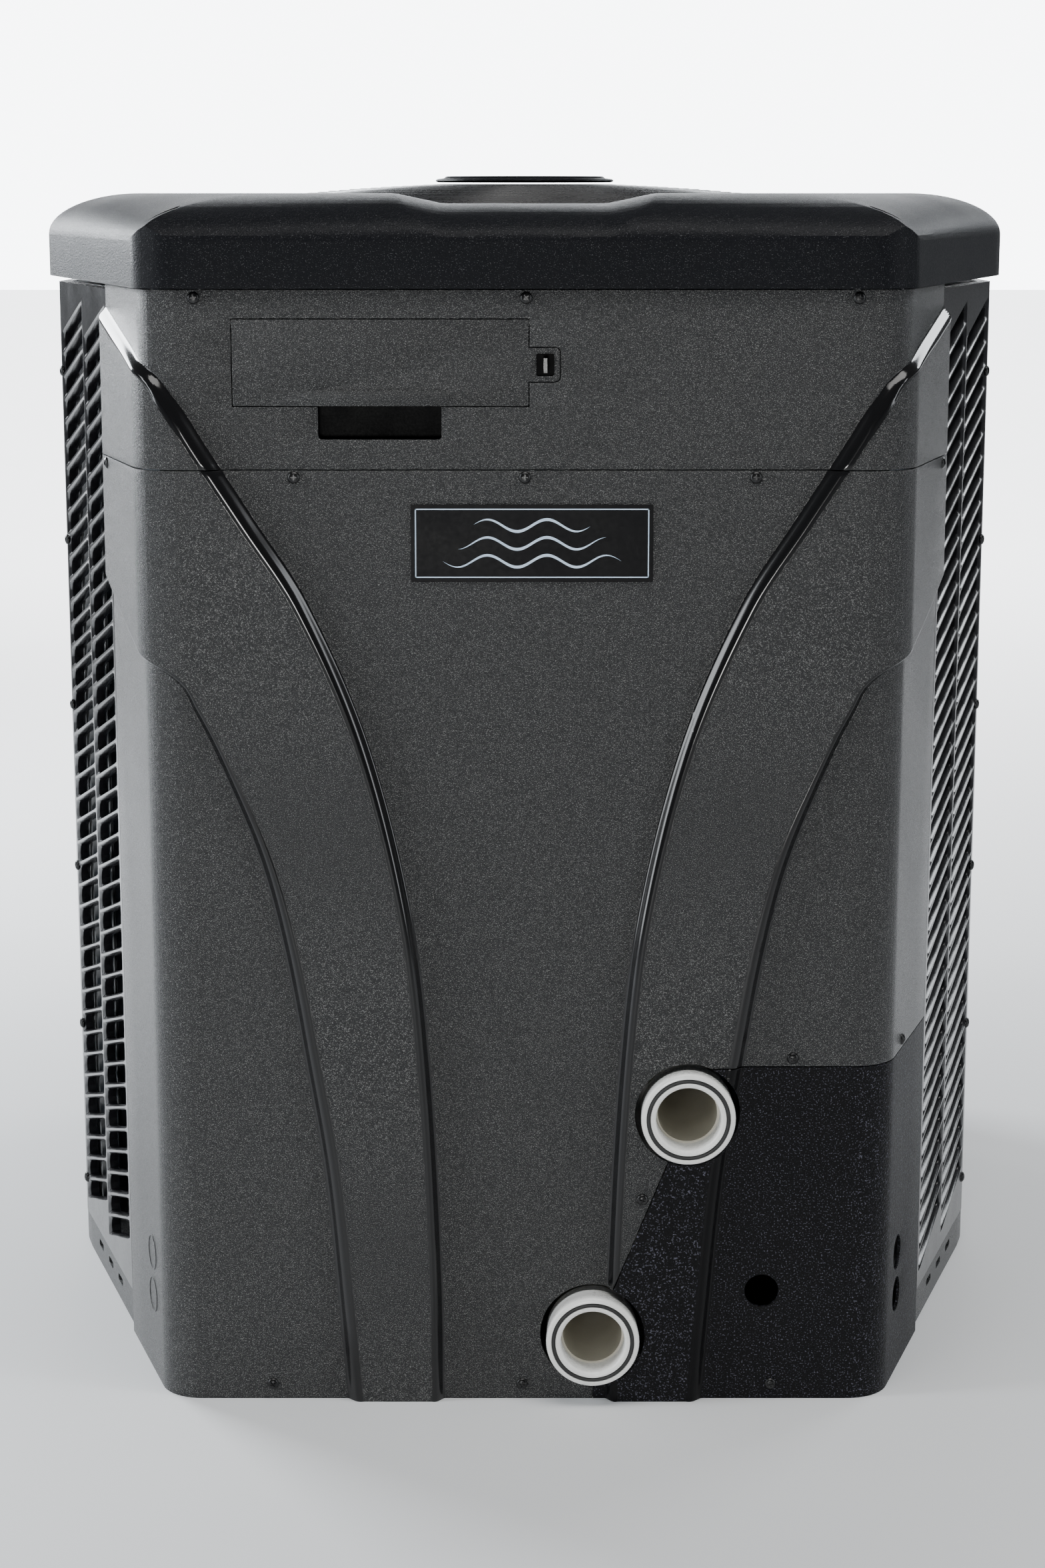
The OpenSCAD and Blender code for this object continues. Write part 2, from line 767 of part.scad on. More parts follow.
module fan_shroud() {
    color([0.1, 0.1, 0.11]) rotate_extrude() polygon(concat(
        [for (p = bell) [shroud_r + p[0], p[1]]],
        [[outlet_r + flange_out, flange_z], [outlet_r + flange_out, flange_z - shroud_t]],
        [for (i = [len(bell) - 1:-1:0]) [shroud_r + bell[i][0] + shroud_t, bell[i][1] - shroud_t * i / 5]]
    ));
}

// ---- Fan ----
motor_top = dome(motor_r + 15) - ring_w - spoke_h - 0.2;
motor_h = 138;
motor_z0 = motor_top - motor_h;
hub_r = 38;
hub_h = 34;
hub_z0 = motor_z0 - 8 - hub_h;
shaft_gap = 0.05;
shaft_in = 60;

module fan_motor() {
    color([0.12, 0.12, 0.13]) difference() {
        union() {
            translate([0, 0, motor_z0 + 6]) cylinder(r = motor_r, h = motor_h - 12);
            translate([0, 0, motor_z0]) cylinder(r = motor_r - 8, h = motor_h);
        }
        translate([0, 0, motor_z0 - 1]) cylinder(r = shaft_r + shaft_gap, h = shaft_in + 1);
    }
}

module motor_shaft() {
    color("silver") translate([0, 0, hub_z0 - 4])
        cylinder(r = shaft_r, h = motor_z0 - hub_z0 + 4 + shaft_in - 1);
}

module fan_hub() {
    color([0.3, 0.31, 0.32]) difference() {
        translate([0, 0, hub_z0]) cylinder(r = hub_r, h = hub_h);
        translate([0, 0, hub_z0 - 1]) cylinder(r = shaft_r, h = hub_h + 2);
    }
}

blade_t = 3;
blade_root = 24;
blade_tip = 90;

module fan_blades() {
    blade_z = hub_z0 + hub_h / 2;
    color([0.6, 0.61, 0.62]) difference() {
        intersection() {
            translate([0, 0, shroud_z0 - 20]) cylinder(r = fan_r, h = 200);
            union() {
                for (i = [0:blade_n - 1]) rotate([0, 0, 360 * i / blade_n])
                    translate([0, 0, blade_z]) rotate([blade_pitch, 0, 0])
                        translate([0, 0, -blade_t / 2]) linear_extrude(blade_t)
                            polygon([[hub_r - 12, -blade_root], [motor_r + 20, -blade_root],
                                [fan_r * 0.6, -blade_tip * 0.8], [fan_r + 10, -blade_tip],
                                [fan_r + 10, blade_tip], [fan_r * 0.6, blade_tip * 0.8],
                                [motor_r + 20, blade_root], [hub_r - 12, blade_root]]);
            }
        }
        translate([0, 0, hub_z0 - 60]) cylinder(r = hub_r, h = 200);
    }
}

// ---- Finned coil ----
coil_bend_r = 50;

module coil_band(trim, z0, z1) {
    difference() {
        translate([0, 0, z0]) linear_extrude(z1 - z0) difference() {
            plan(coil_inset + trim, coil_bend_r + coil_t - trim);
            plan(coil_inset + coil_t - trim, coil_bend_r + trim);
        }
        front_region_deep(coil_front);
    }
}

module evaporator_coil() {
    color([0.35, 0.42, 0.50]) coil_band(0, coil_z0, coil_z1);
}

plate_t = 3;
bend_n = 14;
bend_r = 13;
coil_tube_r = 4.75;

coil_end_x = face_half + coil_front * tan(flank_angle) - (coil_inset + coil_t / 2) / cos(flank_angle);

module coil_end_plates() {
    color("silver") for (side = [-1, 1])
        box([side * coil_end_x - coil_t / 2 - 6, front_y + coil_front - plate_t, coil_z0],
            [side * coil_end_x + coil_t / 2 + 6, front_y + coil_front, coil_z1]);
}

module coil_return_bends() {
    pitch = (coil_z1 - coil_z0) / bend_n;
    color([0.72, 0.43, 0.28]) for (side = [-1, 1], i = [0:bend_n - 1])
        translate([side * coil_end_x, front_y + coil_front - plate_t, coil_z0 + (i + 0.5) * pitch])
            rotate([0, -90, 0]) rotate([0, 0, 180]) rotate_extrude(angle = 180)
                translate([bend_r, 0]) circle(r = coil_tube_r, $fn = 32);
}

// ---- Refrigerant machinery ----
comp_z0 = pan_floor + stand_h / 2 + 22;
comp_foot_r = comp_r + 8;

module compressor() {
    color([0.06, 0.06, 0.07]) translate([comp_x, comp_y, comp_z0]) {
        translate([0, 0, 30]) cylinder(r = comp_r, h = comp_h - 60);
        cylinder(r1 = comp_r - 18, r2 = comp_r, h = 30);
        translate([0, 0, comp_h - 30]) cylinder(r1 = comp_r, r2 = comp_r - 26, h = 30);
        for (i = [0:3]) rotate([0, 0, 45 + 90 * i]) box([20, -22, 0], [comp_foot_r + 12, 22, 4]);
        translate([0, 0, comp_h]) cylinder(r = 10, h = 16);
    }
}

module compressor_grommets() {
    color([0.03, 0.03, 0.03]) for (i = [0:3]) translate([comp_x, comp_y, comp_z0 - 22])
        rotate([0, 0, 45 + 90 * i]) translate([comp_foot_r - 2, 0, 0]) cylinder(r = 12, h = 22);
}

module compressor_terminal_cover() {
    color([0.1, 0.1, 0.11]) difference() {
        translate([comp_x, comp_y, comp_z0])
            box([-28, -comp_r - 24, 240], [28, -comp_r + 8, 330]);
        translate([comp_x, comp_y, comp_z0]) cylinder(r = comp_r, h = comp_h);
    }
}

hx_z0 = pan_floor + stand_h;
hx_wall = 5;
pipe_wall = 4.15;
port_r = pipe_r - pipe_wall;

module hx_outer(d) {
    translate([hx_x, hx_y, hx_z0 + d]) {
        cylinder(r = hx_r - d, h = hx_h - 30 - d);
        translate([0, 0, hx_h - 30 - d]) cylinder(r1 = hx_r - d, r2 = hx_r - 25 - d, h = 30 - d);
    }
}

module heat_exchanger() {
    color([0.85, 0.86, 0.85]) difference() {
        hx_outer(0);
        hx_outer(hx_wall);
        for (p = [[inlet_x, inlet_z], [outlet_x, outlet_z]])
            translate([p[0], hx_y, p[1]]) rotate([90, 0, 0]) cylinder(r = port_r, h = hx_r + 10);
    }
}

socket_len = 26;

module water_pipe(x, z) {
    color([0.9, 0.9, 0.88]) difference() {
        translate([x, front_y, z]) rotate([-90, 0, 0]) cylinder(r = pipe_r, h = half_depth + hx_y);
        translate([x, front_y - 1, z]) rotate([-90, 0, 0]) cylinder(r = port_r, h = half_depth + hx_y + 2);
        hx_outer(0);
    }
}

module inlet_pipe() { water_pipe(inlet_x, inlet_z); }
module outlet_pipe() { water_pipe(outlet_x, outlet_z); }

groove_r0 = bore_r + 4.8;
groove_r1 = groove_r0 + 3.6;
groove_depth = 3;

module pipe_union(x, z) {
    color([0.93, 0.93, 0.91]) on_front(x, z) difference() {
        union() {
            translate([0, 0, -10]) cylinder(r = union_r, h = union_out + 10);
            translate([0, 0, -socket_len]) cylinder(r = pipe_r + 5, h = socket_len);
        }
        translate([0, 0, -socket_len - 1]) cylinder(r = pipe_r, h = socket_len + 1);
        translate([0, 0, -1]) cylinder(r = bore_r, h = union_out + 2);
        translate([0, 0, union_out - groove_depth]) difference() {
            cylinder(r = groove_r1, h = groove_depth + 1);
            translate([0, 0, -1]) cylinder(r = groove_r0, h = groove_depth + 3);
        }
    }
}

module inlet_union() { pipe_union(inlet_x, inlet_z); }
module outlet_union() { pipe_union(outlet_x, outlet_z); }

module o_ring(x, z) {
    ring_r = (groove_r1 - groove_r0) / 2 - 0.1;
    color([0.03, 0.03, 0.03]) on_front(x, z) translate([0, 0, union_out - groove_depth + ring_r])
        rotate_extrude() translate([(groove_r0 + groove_r1) / 2, 0]) circle(r = ring_r, $fn = 32);
}

module inlet_o_ring() { o_ring(inlet_x, inlet_z); }
module outlet_o_ring() { o_ring(outlet_x, outlet_z); }

switch_y = front_y + 135;
module water_pressure_switch() {
    color([0.25, 0.25, 0.27]) translate([inlet_x, switch_y, inlet_z + pipe_r]) {
        cylinder(r = 5, h = 14);
        translate([0, 0, 14]) cylinder(r = 13, h = 8, $fn = 6);
        translate([0, 0, 22]) cylinder(r = 12, h = 24);
    }
}

valve_y = -60;
valve_z = 560;
valve_x = 5;
valve_r = 16;
valve_port = 32;

module reversing_valve() {
    color([0.72, 0.5, 0.3]) {
        translate([valve_x - 68, valve_y, valve_z]) rotate([0, 90, 0]) cylinder(r = valve_r, h = 136);
        translate([valve_x, valve_y, valve_z]) cylinder(r = 9, h = 28);
        for (dx = [-valve_port, 0, valve_port])
            translate([valve_x + dx, valve_y, valve_z - 28]) cylinder(r = 11.5, h = 28);
        translate([valve_x - 20, valve_y - valve_r - 22, valve_z - 12]) cube([40, 24, 24]);
    }
}

discharge_r = 6.5;
suction_r = 9.5;
liquid_r = 5;
comp_top = comp_z0 + comp_h + 16;

module discharge_line() {
    color([0.72, 0.43, 0.28]) tube_run([
        [comp_x, comp_y, comp_top], [comp_x, comp_y, 640], [comp_x, valve_y, 640],
        [valve_x, valve_y, 640], [valve_x, valve_y, valve_z + 28]
    ], discharge_r);
}

suction_z = 180;
module suction_line() {
    color([0.72, 0.43, 0.28]) difference() {
        tube_run([
            [valve_x, valve_y, valve_z - 28], [valve_x, valve_y, suction_z],
            [valve_x - 30, comp_y, suction_z], [comp_x + comp_r - 6, comp_y, suction_z]
        ], suction_r);
        translate([comp_x, comp_y, comp_z0]) cylinder(r = comp_r, h = comp_h);
    }
}

module exchanger_gas_line() {
    x = valve_x + valve_port;
    hx_top = hx_z0 + hx_h;
    color([0.72, 0.43, 0.28]) tube_run([
        [x, valve_y, valve_z - 28], [x, valve_y, valve_z - 70], [hx_x + 10, valve_y + 30, valve_z - 70],
        [hx_x + 10, valve_y + 30, hx_top + 70], [hx_x, hx_y, hx_top + 70], [hx_x, hx_y, hx_top]
    ], suction_r);
}

header_r = 11;
header_z0 = coil_z0 + 60;
header_z1 = coil_z1 - 106;
header_y = front_y + coil_front - 40;
left_header_x = -coil_end_x + 45;
right_header_x = coil_end_x - 45;

module coil_gas_line() {
    x = valve_x - valve_port;
    color([0.72, 0.43, 0.28]) {
        tube_run([
            [x, valve_y, valve_z - 28], [x, valve_y, valve_z - 60], [x, 30, valve_z - 60],
            [left_header_x, 30, valve_z - 60], [left_header_x, header_y + header_r - 3, valve_z - 60]
        ], suction_r);
        translate([left_header_x, header_y, header_z0]) cylinder(r = header_r, h = header_z1 - header_z0);
    }
}

drier_x = 228;
drier_y = front_y + 115;
drier_z = 222;
drier_h = 120;
expansion_z = 380;

module liquid_line() {
    front_run_y = drier_y - 45;
    start_z = 100;
    color([0.72, 0.43, 0.28]) {
        difference() {
            tube_run([
                [hx_x + hx_r - 8, hx_y, start_z], [212, hx_y, start_z], [212, front_run_y, start_z],
                [212, front_run_y, 190], [drier_x, drier_y, 190], [drier_x, drier_y, drier_z]
            ], liquid_r);
            hx_outer(0);
        }
        tube_run([[drier_x, drier_y, drier_z + drier_h], [drier_x, drier_y, expansion_z]], liquid_r);
        tube_run([
            [drier_x, drier_y, expansion_z + 42], [drier_x, drier_y, 470],
            [right_header_x - header_r + 3, header_y, 470]
        ], liquid_r);
        translate([right_header_x, header_y, header_z0])
            cylinder(r = header_r * 0.8, h = header_z1 - header_z0);
    }
}

module filter_drier() {
    color([0.1, 0.2, 0.15]) translate([drier_x, drier_y, drier_z]) {
        cylinder(r1 = 9, r2 = 25, h = 14);
        translate([0, 0, 14]) cylinder(r = 25, h = drier_h - 28);
        translate([0, 0, drier_h - 14]) cylinder(r1 = 25, r2 = 9, h = 14);
    }
}

module expansion_valve() {
    color([0.75, 0.6, 0.3]) translate([drier_x, drier_y, expansion_z]) {
        cylinder(r = 11, h = 42);
        translate([0, 0, 21]) rotate([90, 0, 0]) cylinder(r = 9, h = 30);
        translate([0, -30, 21]) rotate([90, 0, 0]) cylinder(r = 22, h = 9);
    }
}

// ---- Electrical parts ----
ebox_lo = [-250, front_y + 18, seam_z - 263.7];
ebox_hi = [150, front_y + 125, seam_z - 17.7];
ebox_t = 2;

module electrical_box() {
    color([0.6, 0.62, 0.63]) difference() {
        box(ebox_lo, ebox_hi);
        box(ebox_lo + [ebox_t, -1, ebox_t], ebox_hi - [ebox_t, ebox_t, ebox_t]);
        for (x = [-190, 60]) translate([x, ebox_hi[1] - 40, ebox_lo[2] - 1]) cylinder(r = entry_r, h = ebox_t + 2);
    }
}

module electrical_box_lid() {
    color([0.6, 0.62, 0.63])
        box([ebox_lo[0] - 3, ebox_lo[1] - ebox_t, ebox_lo[2] - 3],
            [ebox_hi[0] + 3, ebox_lo[1], ebox_hi[2] + 3]);
}

ebox_back = ebox_hi[1] - ebox_t;
contactor_x = -190;
contactor_z = ebox_lo[2] + 80;
armature_w = 16;
armature_gap = 0.4;
armature_out = 6;
armature_travel = 3;

module contactor() {
    color([0.2, 0.2, 0.22]) difference() {
        translate([contactor_x, ebox_back - 60, contactor_z]) cube([60, 60, 75]);
        box([contactor_x + 30 - armature_w / 2 - armature_gap, ebox_back - 61, contactor_z + 28],
            [contactor_x + 30 + armature_w / 2 + armature_gap, ebox_back - 30, contactor_z + 48]);
    }
}

module contactor_armature() {
    color([0.7, 0.25, 0.1])
        box([contactor_x + 30 - armature_w / 2, ebox_back - 60 - armature_out, contactor_z + 28 + armature_gap],
            [contactor_x + 30 + armature_w / 2, ebox_back - 30 - armature_travel - 1,
                contactor_z + 48 - armature_gap]);
}

module run_capacitor() {
    color("silver") translate([-90, ebox_back - 32, contactor_z - 20]) {
        cylinder(r = 25, h = 95);
        for (x = [-9, 9]) translate([x - 3, -0.5, 95]) cube([6, 1, 9]);
    }
}

module control_board() {
    color([0.05, 0.3, 0.15]) translate([-40, ebox_back - 14, ebox_lo[2] + 30]) {
        cube([160, 2, 190]);
        for (x = [12, 44, 76]) translate([x, -18, 20]) cube([20, 18, 26]);
        translate([110, -26, 120]) cube([38, 26, 44]);
        translate([20, -4, 110]) cube([30, 4, 30]);
        for (x = [4, 150], z = [4, 180]) translate([x, 2, z]) cube([6, 12, 6]);
    }
}

module terminal_block() {
    color([0.15, 0.15, 0.16]) difference() {
        translate([-200, ebox_back - 26, ebox_lo[2] + 25]) cube([110, 26, 24]);
        for (i = [0:4]) translate([-189 + 22 * i, ebox_back - 27, ebox_lo[2] + 37]) rotate([-90, 0, 0])
            cylinder(r = 4, h = 8);
    }
}

base_pan();
inner_frame();
lower_front_panel();
upper_front_panel();
pipe_access_panel();
left_front_grille();
left_side_grille();
left_rear_grille();
rear_grille();
right_rear_grille();
right_side_grille();
right_front_grille();
rear_corner_posts();
top_cover();
fan_guard();
guard_centre_disc();
fan_shroud();
fan_motor();
motor_shaft();
fan_hub();
fan_blades();
evaporator_coil();
coil_end_plates();
coil_return_bends();
compressor();
compressor_grommets();
compressor_terminal_cover();
heat_exchanger();
inlet_pipe();
outlet_pipe();
inlet_union();
outlet_union();
inlet_o_ring();
outlet_o_ring();
water_pressure_switch();
reversing_valve();
discharge_line();
suction_line();
exchanger_gas_line();
coil_gas_line();
liquid_line();
filter_drier();
expansion_valve();
electrical_box();
electrical_box_lid();
contactor();
contactor_armature();
run_capacitor();
control_board();
terminal_block();
control_tray();
display_window();
up_button();
down_button();
mode_button();
control_door();
door_hinge_pin();
lock_staple();
label_plate();
cabinet_screws();
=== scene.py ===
import json
import math
import bpy
import bmesh
from mathutils import Matrix, Vector


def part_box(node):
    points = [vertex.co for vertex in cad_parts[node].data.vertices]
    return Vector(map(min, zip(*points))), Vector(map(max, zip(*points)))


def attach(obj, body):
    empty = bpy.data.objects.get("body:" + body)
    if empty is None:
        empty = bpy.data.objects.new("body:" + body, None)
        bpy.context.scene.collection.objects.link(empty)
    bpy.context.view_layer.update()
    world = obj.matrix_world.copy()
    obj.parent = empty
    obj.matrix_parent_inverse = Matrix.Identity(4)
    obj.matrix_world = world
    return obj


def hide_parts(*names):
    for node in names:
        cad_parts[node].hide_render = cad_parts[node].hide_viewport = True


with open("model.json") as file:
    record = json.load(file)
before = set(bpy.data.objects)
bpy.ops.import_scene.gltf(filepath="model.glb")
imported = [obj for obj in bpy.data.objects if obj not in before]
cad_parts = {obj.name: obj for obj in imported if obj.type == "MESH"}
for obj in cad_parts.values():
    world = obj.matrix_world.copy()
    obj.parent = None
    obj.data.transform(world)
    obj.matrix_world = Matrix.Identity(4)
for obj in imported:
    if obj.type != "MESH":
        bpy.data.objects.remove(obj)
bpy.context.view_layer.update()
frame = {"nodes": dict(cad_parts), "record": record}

mm = 0.001
scene = bpy.context.scene
nodes = frame["nodes"]


# ---------- camera ----------
cameraValues = {"lens": 67.35, "place": (-0.002, -2.913, 1.050), "tilt": 78.61}
cameraData = bpy.data.cameras.new("camera")
cameraData.lens = cameraValues["lens"]
cameraData.sensor_width = 36.0
cameraData.clip_end = 200.0
camera = bpy.data.objects.new("camera", cameraData)
camera.location = cameraValues["place"]
camera.rotation_euler = (math.radians(cameraValues["tilt"]), 0.0, 0.0)
scene.collection.objects.link(camera)
scene.camera = camera


# ---------- sizes that several pieces share, in metres ----------
cabinet = {
    "faceHalf": 315 * mm,      # sharp front corner, across
    "halfDepth": 465 * mm,
    "flankAngle": math.radians(18.5),
    "cornerR": 40 * mm,
    "sideHalf": 81 * mm,       # half of the bowed stretch
    "wrapDepth": 158 * mm,     # how far the front panels reach back
    "skin": 3 * mm,
}
frontY = -cabinet["halfDepth"]
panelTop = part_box("upper_front_panel")[1].z
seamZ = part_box("upper_front_panel")[0].z - 0.5 * mm
gap = 1 * mm
turn = math.pi / 2 - cabinet["flankAngle"]
flatHalf = cabinet["faceHalf"] - cabinet["cornerR"] * math.tan(turn / 2)
arcEnd = flatHalf + cabinet["cornerR"] * turn
creaseX = cabinet["faceHalf"] + (cabinet["halfDepth"] - cabinet["sideHalf"]) * math.tan(cabinet["flankAngle"])


def depthToRun(depth):
    filletDepth = cabinet["cornerR"] * (1 - math.cos(turn))
    return arcEnd + (depth - filletDepth) / math.cos(cabinet["flankAngle"])


rearRun = depthToRun(cabinet["wrapDepth"])


def wrap(run, out):
    # a place on the front, the rounded corner or the flank, from its run along the skin
    side = -1.0 if run < 0 else 1.0
    a = abs(run)
    r = cabinet["cornerR"] + out
    if a <= flatHalf:
        return run, frontY - out
    angle = min(a - flatHalf, arcEnd - flatHalf) / cabinet["cornerR"]
    x = flatHalf + r * math.sin(angle)
    y = frontY + cabinet["cornerR"] - r * math.cos(angle)
    if a > arcEnd:
        x += (a - arcEnd) * math.sin(cabinet["flankAngle"])
        y += (a - arcEnd) * math.cos(cabinet["flankAngle"])
    return side * x, y


# ---------- small helpers ----------
def makeObject(name, mesh):
    obj = bpy.data.objects.new(name, mesh)
    scene.collection.objects.link(obj)
    return obj


def fromBmesh(name, bm):
    mesh = bpy.data.meshes.new(name)
    bm.to_mesh(mesh)
    bm.free()
    return makeObject(name, mesh)


def applyModifiers(obj):
    graph = bpy.context.evaluated_depsgraph_get()
    mesh = bpy.data.meshes.new_from_object(obj.evaluated_get(graph))
    old = obj.data
    obj.modifiers.clear()
    obj.data = mesh
    mesh.name = obj.name
    bpy.data.meshes.remove(old)


def cut(obj, cutters, operation="DIFFERENCE"):
    for cutter in cutters:
        modifier = obj.modifiers.new("cut", "BOOLEAN")
        modifier.solver = "EXACT"
        modifier.operation = operation
        modifier.object = cutter
    applyModifiers(obj)
    for cutter in cutters:
        bpy.data.objects.remove(cutter)


def shade(obj, sharpAngle):
    obj.data.polygons.foreach_set("use_smooth", [True] * len(obj.data.polygons))
    obj.data.set_sharp_from_angle(angle=math.radians(sharpAngle))


def place(obj, material, body="cabinet", stands=(), sharpAngle=30):
    obj.data.materials.clear()
    obj.data.materials.append(material)
    shade(obj, sharpAngle)
    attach(obj, body)
    if stands:
        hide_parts(*stands)
    return obj


def addBox(bm, low, high):
    low, high = Vector(low), Vector(high)
    made = bmesh.ops.create_cube(bm, size=1.0)["verts"]
    bmesh.ops.scale(bm, vec=high - low, verts=made)
    bmesh.ops.translate(bm, vec=(low + high) / 2, verts=made)
    return made


def bevelEdges(bm, edges, width, segments=3):
    bmesh.ops.bevel(bm, geom=edges, offset=width, offset_type="OFFSET", segments=segments,
                    profile=0.5, affect="EDGES", material=-1, clamp_overlap=True)


def addRoundedBox(bm, low, high, radius):
    # a box whose front to back edges are rounded
    made = addBox(bm, low, high)
    edges = {e for v in made for e in v.link_edges
             if abs((e.verts[0].co - e.verts[1].co).normalized().y) > 0.99}
    bevelEdges(bm, list(edges), radius, 5)


def absorb(bm, other):
    # moves everything from one bmesh into another
    mesh = bpy.data.meshes.new("passing")
    other.to_mesh(mesh)
    other.free()
    bm.from_mesh(mesh)
    bpy.data.meshes.remove(mesh)


def boxCutter(low, high, radius=0.0):
    bm = bmesh.new()
    if radius > 0:
        addRoundedBox(bm, low, high, radius)
    else:
        addBox(bm, low, high)
    return fromBmesh("cutter", bm)


def rodCutter(centre, radius):
    # a long rod lying front to back
    bm = bmesh.new()
    bmesh.ops.create_cone(bm, cap_ends=True, cap_tris=False, segments=64,
                          radius1=radius, radius2=radius, depth=80 * mm)
    turnAll(bm, Matrix.Rotation(math.pi / 2, 3, "X"))
    bmesh.ops.translate(bm, vec=centre, verts=bm.verts)
    return fromBmesh("cutter", bm)


def extrudeUp(bm, face, rise):
    raised = bmesh.ops.extrude_face_region(bm, geom=[face])["geom"]
    verts = [g for g in raised if isinstance(g, bmesh.types.BMVert)]
    bmesh.ops.translate(bm, vec=(0, 0, rise), verts=verts)


def addRing(bm, places):
    # a closed loop of edges through the places, in order
    ring = bmesh.ops.create_circle(bm, cap_ends=False, segments=len(places), radius=1.0)["verts"]
    for v, spot in zip(ring, places):
        v.co = spot
    return list({e for v in ring for e in v.link_edges})


def bridgeRings(bm, rings):
    for first, second in zip(rings, rings[1:]):
        bmesh.ops.bridge_loops(bm, edges=first + second)


def roundProfile(radius, along, thick, sides):
    turns = [2 * math.pi * i / sides for i in range(sides)]
    return [(radius + thick * math.cos(t), along + thick * math.sin(t)) for t in turns]


def addSkin(obj, thickness, offset=-1.0):
    solid = obj.modifiers.new("skin", "SOLIDIFY")
    solid.thickness = thickness
    solid.offset = offset
    applyModifiers(obj)


def softenEdges(obj, width, sharpAngle):
    soft = obj.modifiers.new("edges", "BEVEL")
    soft.width = width
    soft.segments = 2
    soft.limit_method = "ANGLE"
    soft.angle_limit = math.radians(sharpAngle)
    applyModifiers(obj)


def spinProfile(bm, points, centre, axis, steps, closed=False):
    # turns a line of (radius, along) points about an axis through centre
    axis = Vector(axis)
    side = Vector((1, 0, 0)) if abs(axis.x) < 0.9 else Vector((0, 0, 1))
    centre = Vector(centre)
    verts = [bm.verts.new(centre + side * r + axis * a) for r, a in points]
    edges = [bm.edges.new(pair) for pair in zip(verts, verts[1:])]
    if closed:
        edges.append(bm.edges.new((verts[-1], verts[0])))
    bmesh.ops.spin(bm, geom=verts + edges, cent=centre, axis=axis, angle=2 * math.pi,
                   steps=steps, use_merge=True)


def turnAll(bm, matrix):
    bmesh.ops.rotate(bm, cent=(0, 0, 0), matrix=matrix, verts=bm.verts)


def turnOut(bm):
    bmesh.ops.recalc_face_normals(bm, faces=bm.faces)


def closeAndTurnOut(bm):
    bmesh.ops.remove_doubles(bm, verts=bm.verts, dist=1e-6)
    turnOut(bm)


def curveValue(points, z):
    # smooth curve through (height, value) points, with its slope
    if z <= points[0][0]:
        i = 0
    else:
        i = max(k for k in range(len(points) - 1) if points[k][0] <= z)

    def slope(k):
        a, b = points[max(k - 1, 0)], points[min(k + 1, len(points) - 1)]
        return (b[1] - a[1]) / (b[0] - a[0])
    (z0, v0), (z1, v1) = points[i], points[i + 1]
    h = z1 - z0
    t = (z - z0) / h
    m0, m1 = slope(i) * h, slope(i + 1) * h
    value = ((2 * t ** 3 - 3 * t ** 2 + 1) * v0 + (t ** 3 - 2 * t ** 2 + t) * m0
             + (-2 * t ** 3 + 3 * t ** 2) * v1 + (t ** 3 - t ** 2) * m1)
    rate = ((6 * t ** 2 - 6 * t) * (v0 - v1) + (3 * t ** 2 - 4 * t + 1) * m0 + (3 * t ** 2 - 2 * t) * m1) / h
    return value, rate


def smoothStep(t):
    t = min(max(t, 0.0), 1.0)
    return t * t * (3 - 2 * t)


# ---------- materials ----------
def startMaterial(name, rough=0.5, metal=0.0):
    material = bpy.data.materials.new(name)
    material.use_nodes = True
    tree = material.node_tree
    shader = tree.nodes["Principled BSDF"]
    shader.inputs["Roughness"].default_value = rough
    shader.inputs["Metallic"].default_value = metal
    coords = tree.nodes.new("ShaderNodeTexCoord").outputs["Object"]
    return material, tree, shader, coords


def noise(tree, coords, scale, detail=2.0, rough=0.5):
    node = tree.nodes.new("ShaderNodeTexNoise")
    node.inputs["Scale"].default_value = scale
    node.inputs["Detail"].default_value = detail
    node.inputs["Roughness"].default_value = rough
    tree.links.new(coords, node.inputs["Vector"])
    return node.outputs["Fac"]


def stretch(tree, value, low, high, toLow=0.0, toHigh=1.0, smooth=False):
    node = tree.nodes.new("ShaderNodeMapRange")
    node.interpolation_type = "SMOOTHSTEP" if smooth else "LINEAR"
    node.inputs["From Min"].default_value = low
    node.inputs["From Max"].default_value = high
    node.inputs["To Min"].default_value = toLow
    node.inputs["To Max"].default_value = toHigh
    tree.links.new(value, node.inputs["Value"])
    return node.outputs["Result"]


def blendColour(tree, factor, first, second):
    node = tree.nodes.new("ShaderNodeMix")
    node.data_type = "RGBA"
    tree.links.new(factor, node.inputs["Factor"])
    for socket, colour in ((node.inputs["A"], first), (node.inputs["B"], second)):
        if isinstance(colour, tuple):
            socket.default_value = (*colour, 1.0)
        else:
            tree.links.new(colour, socket)
    return node.outputs["Result"]


def calculate(tree, operation, first, second):
    node = tree.nodes.new("ShaderNodeMath")
    node.operation = operation
    for socket, value in zip(node.inputs, (first, second)):
        if isinstance(value, (int, float)):
            socket.default_value = value
        else:
            tree.links.new(value, socket)
    return node.outputs["Value"]


def addBump(tree, shader, height, distance, strength=1.0):
    node = tree.nodes.new("ShaderNodeBump")
    node.inputs["Distance"].default_value = distance
    node.inputs["Strength"].default_value = strength
    tree.links.new(height, node.inputs["Height"])
    tree.links.new(node.outputs["Normal"], shader.inputs["Normal"])


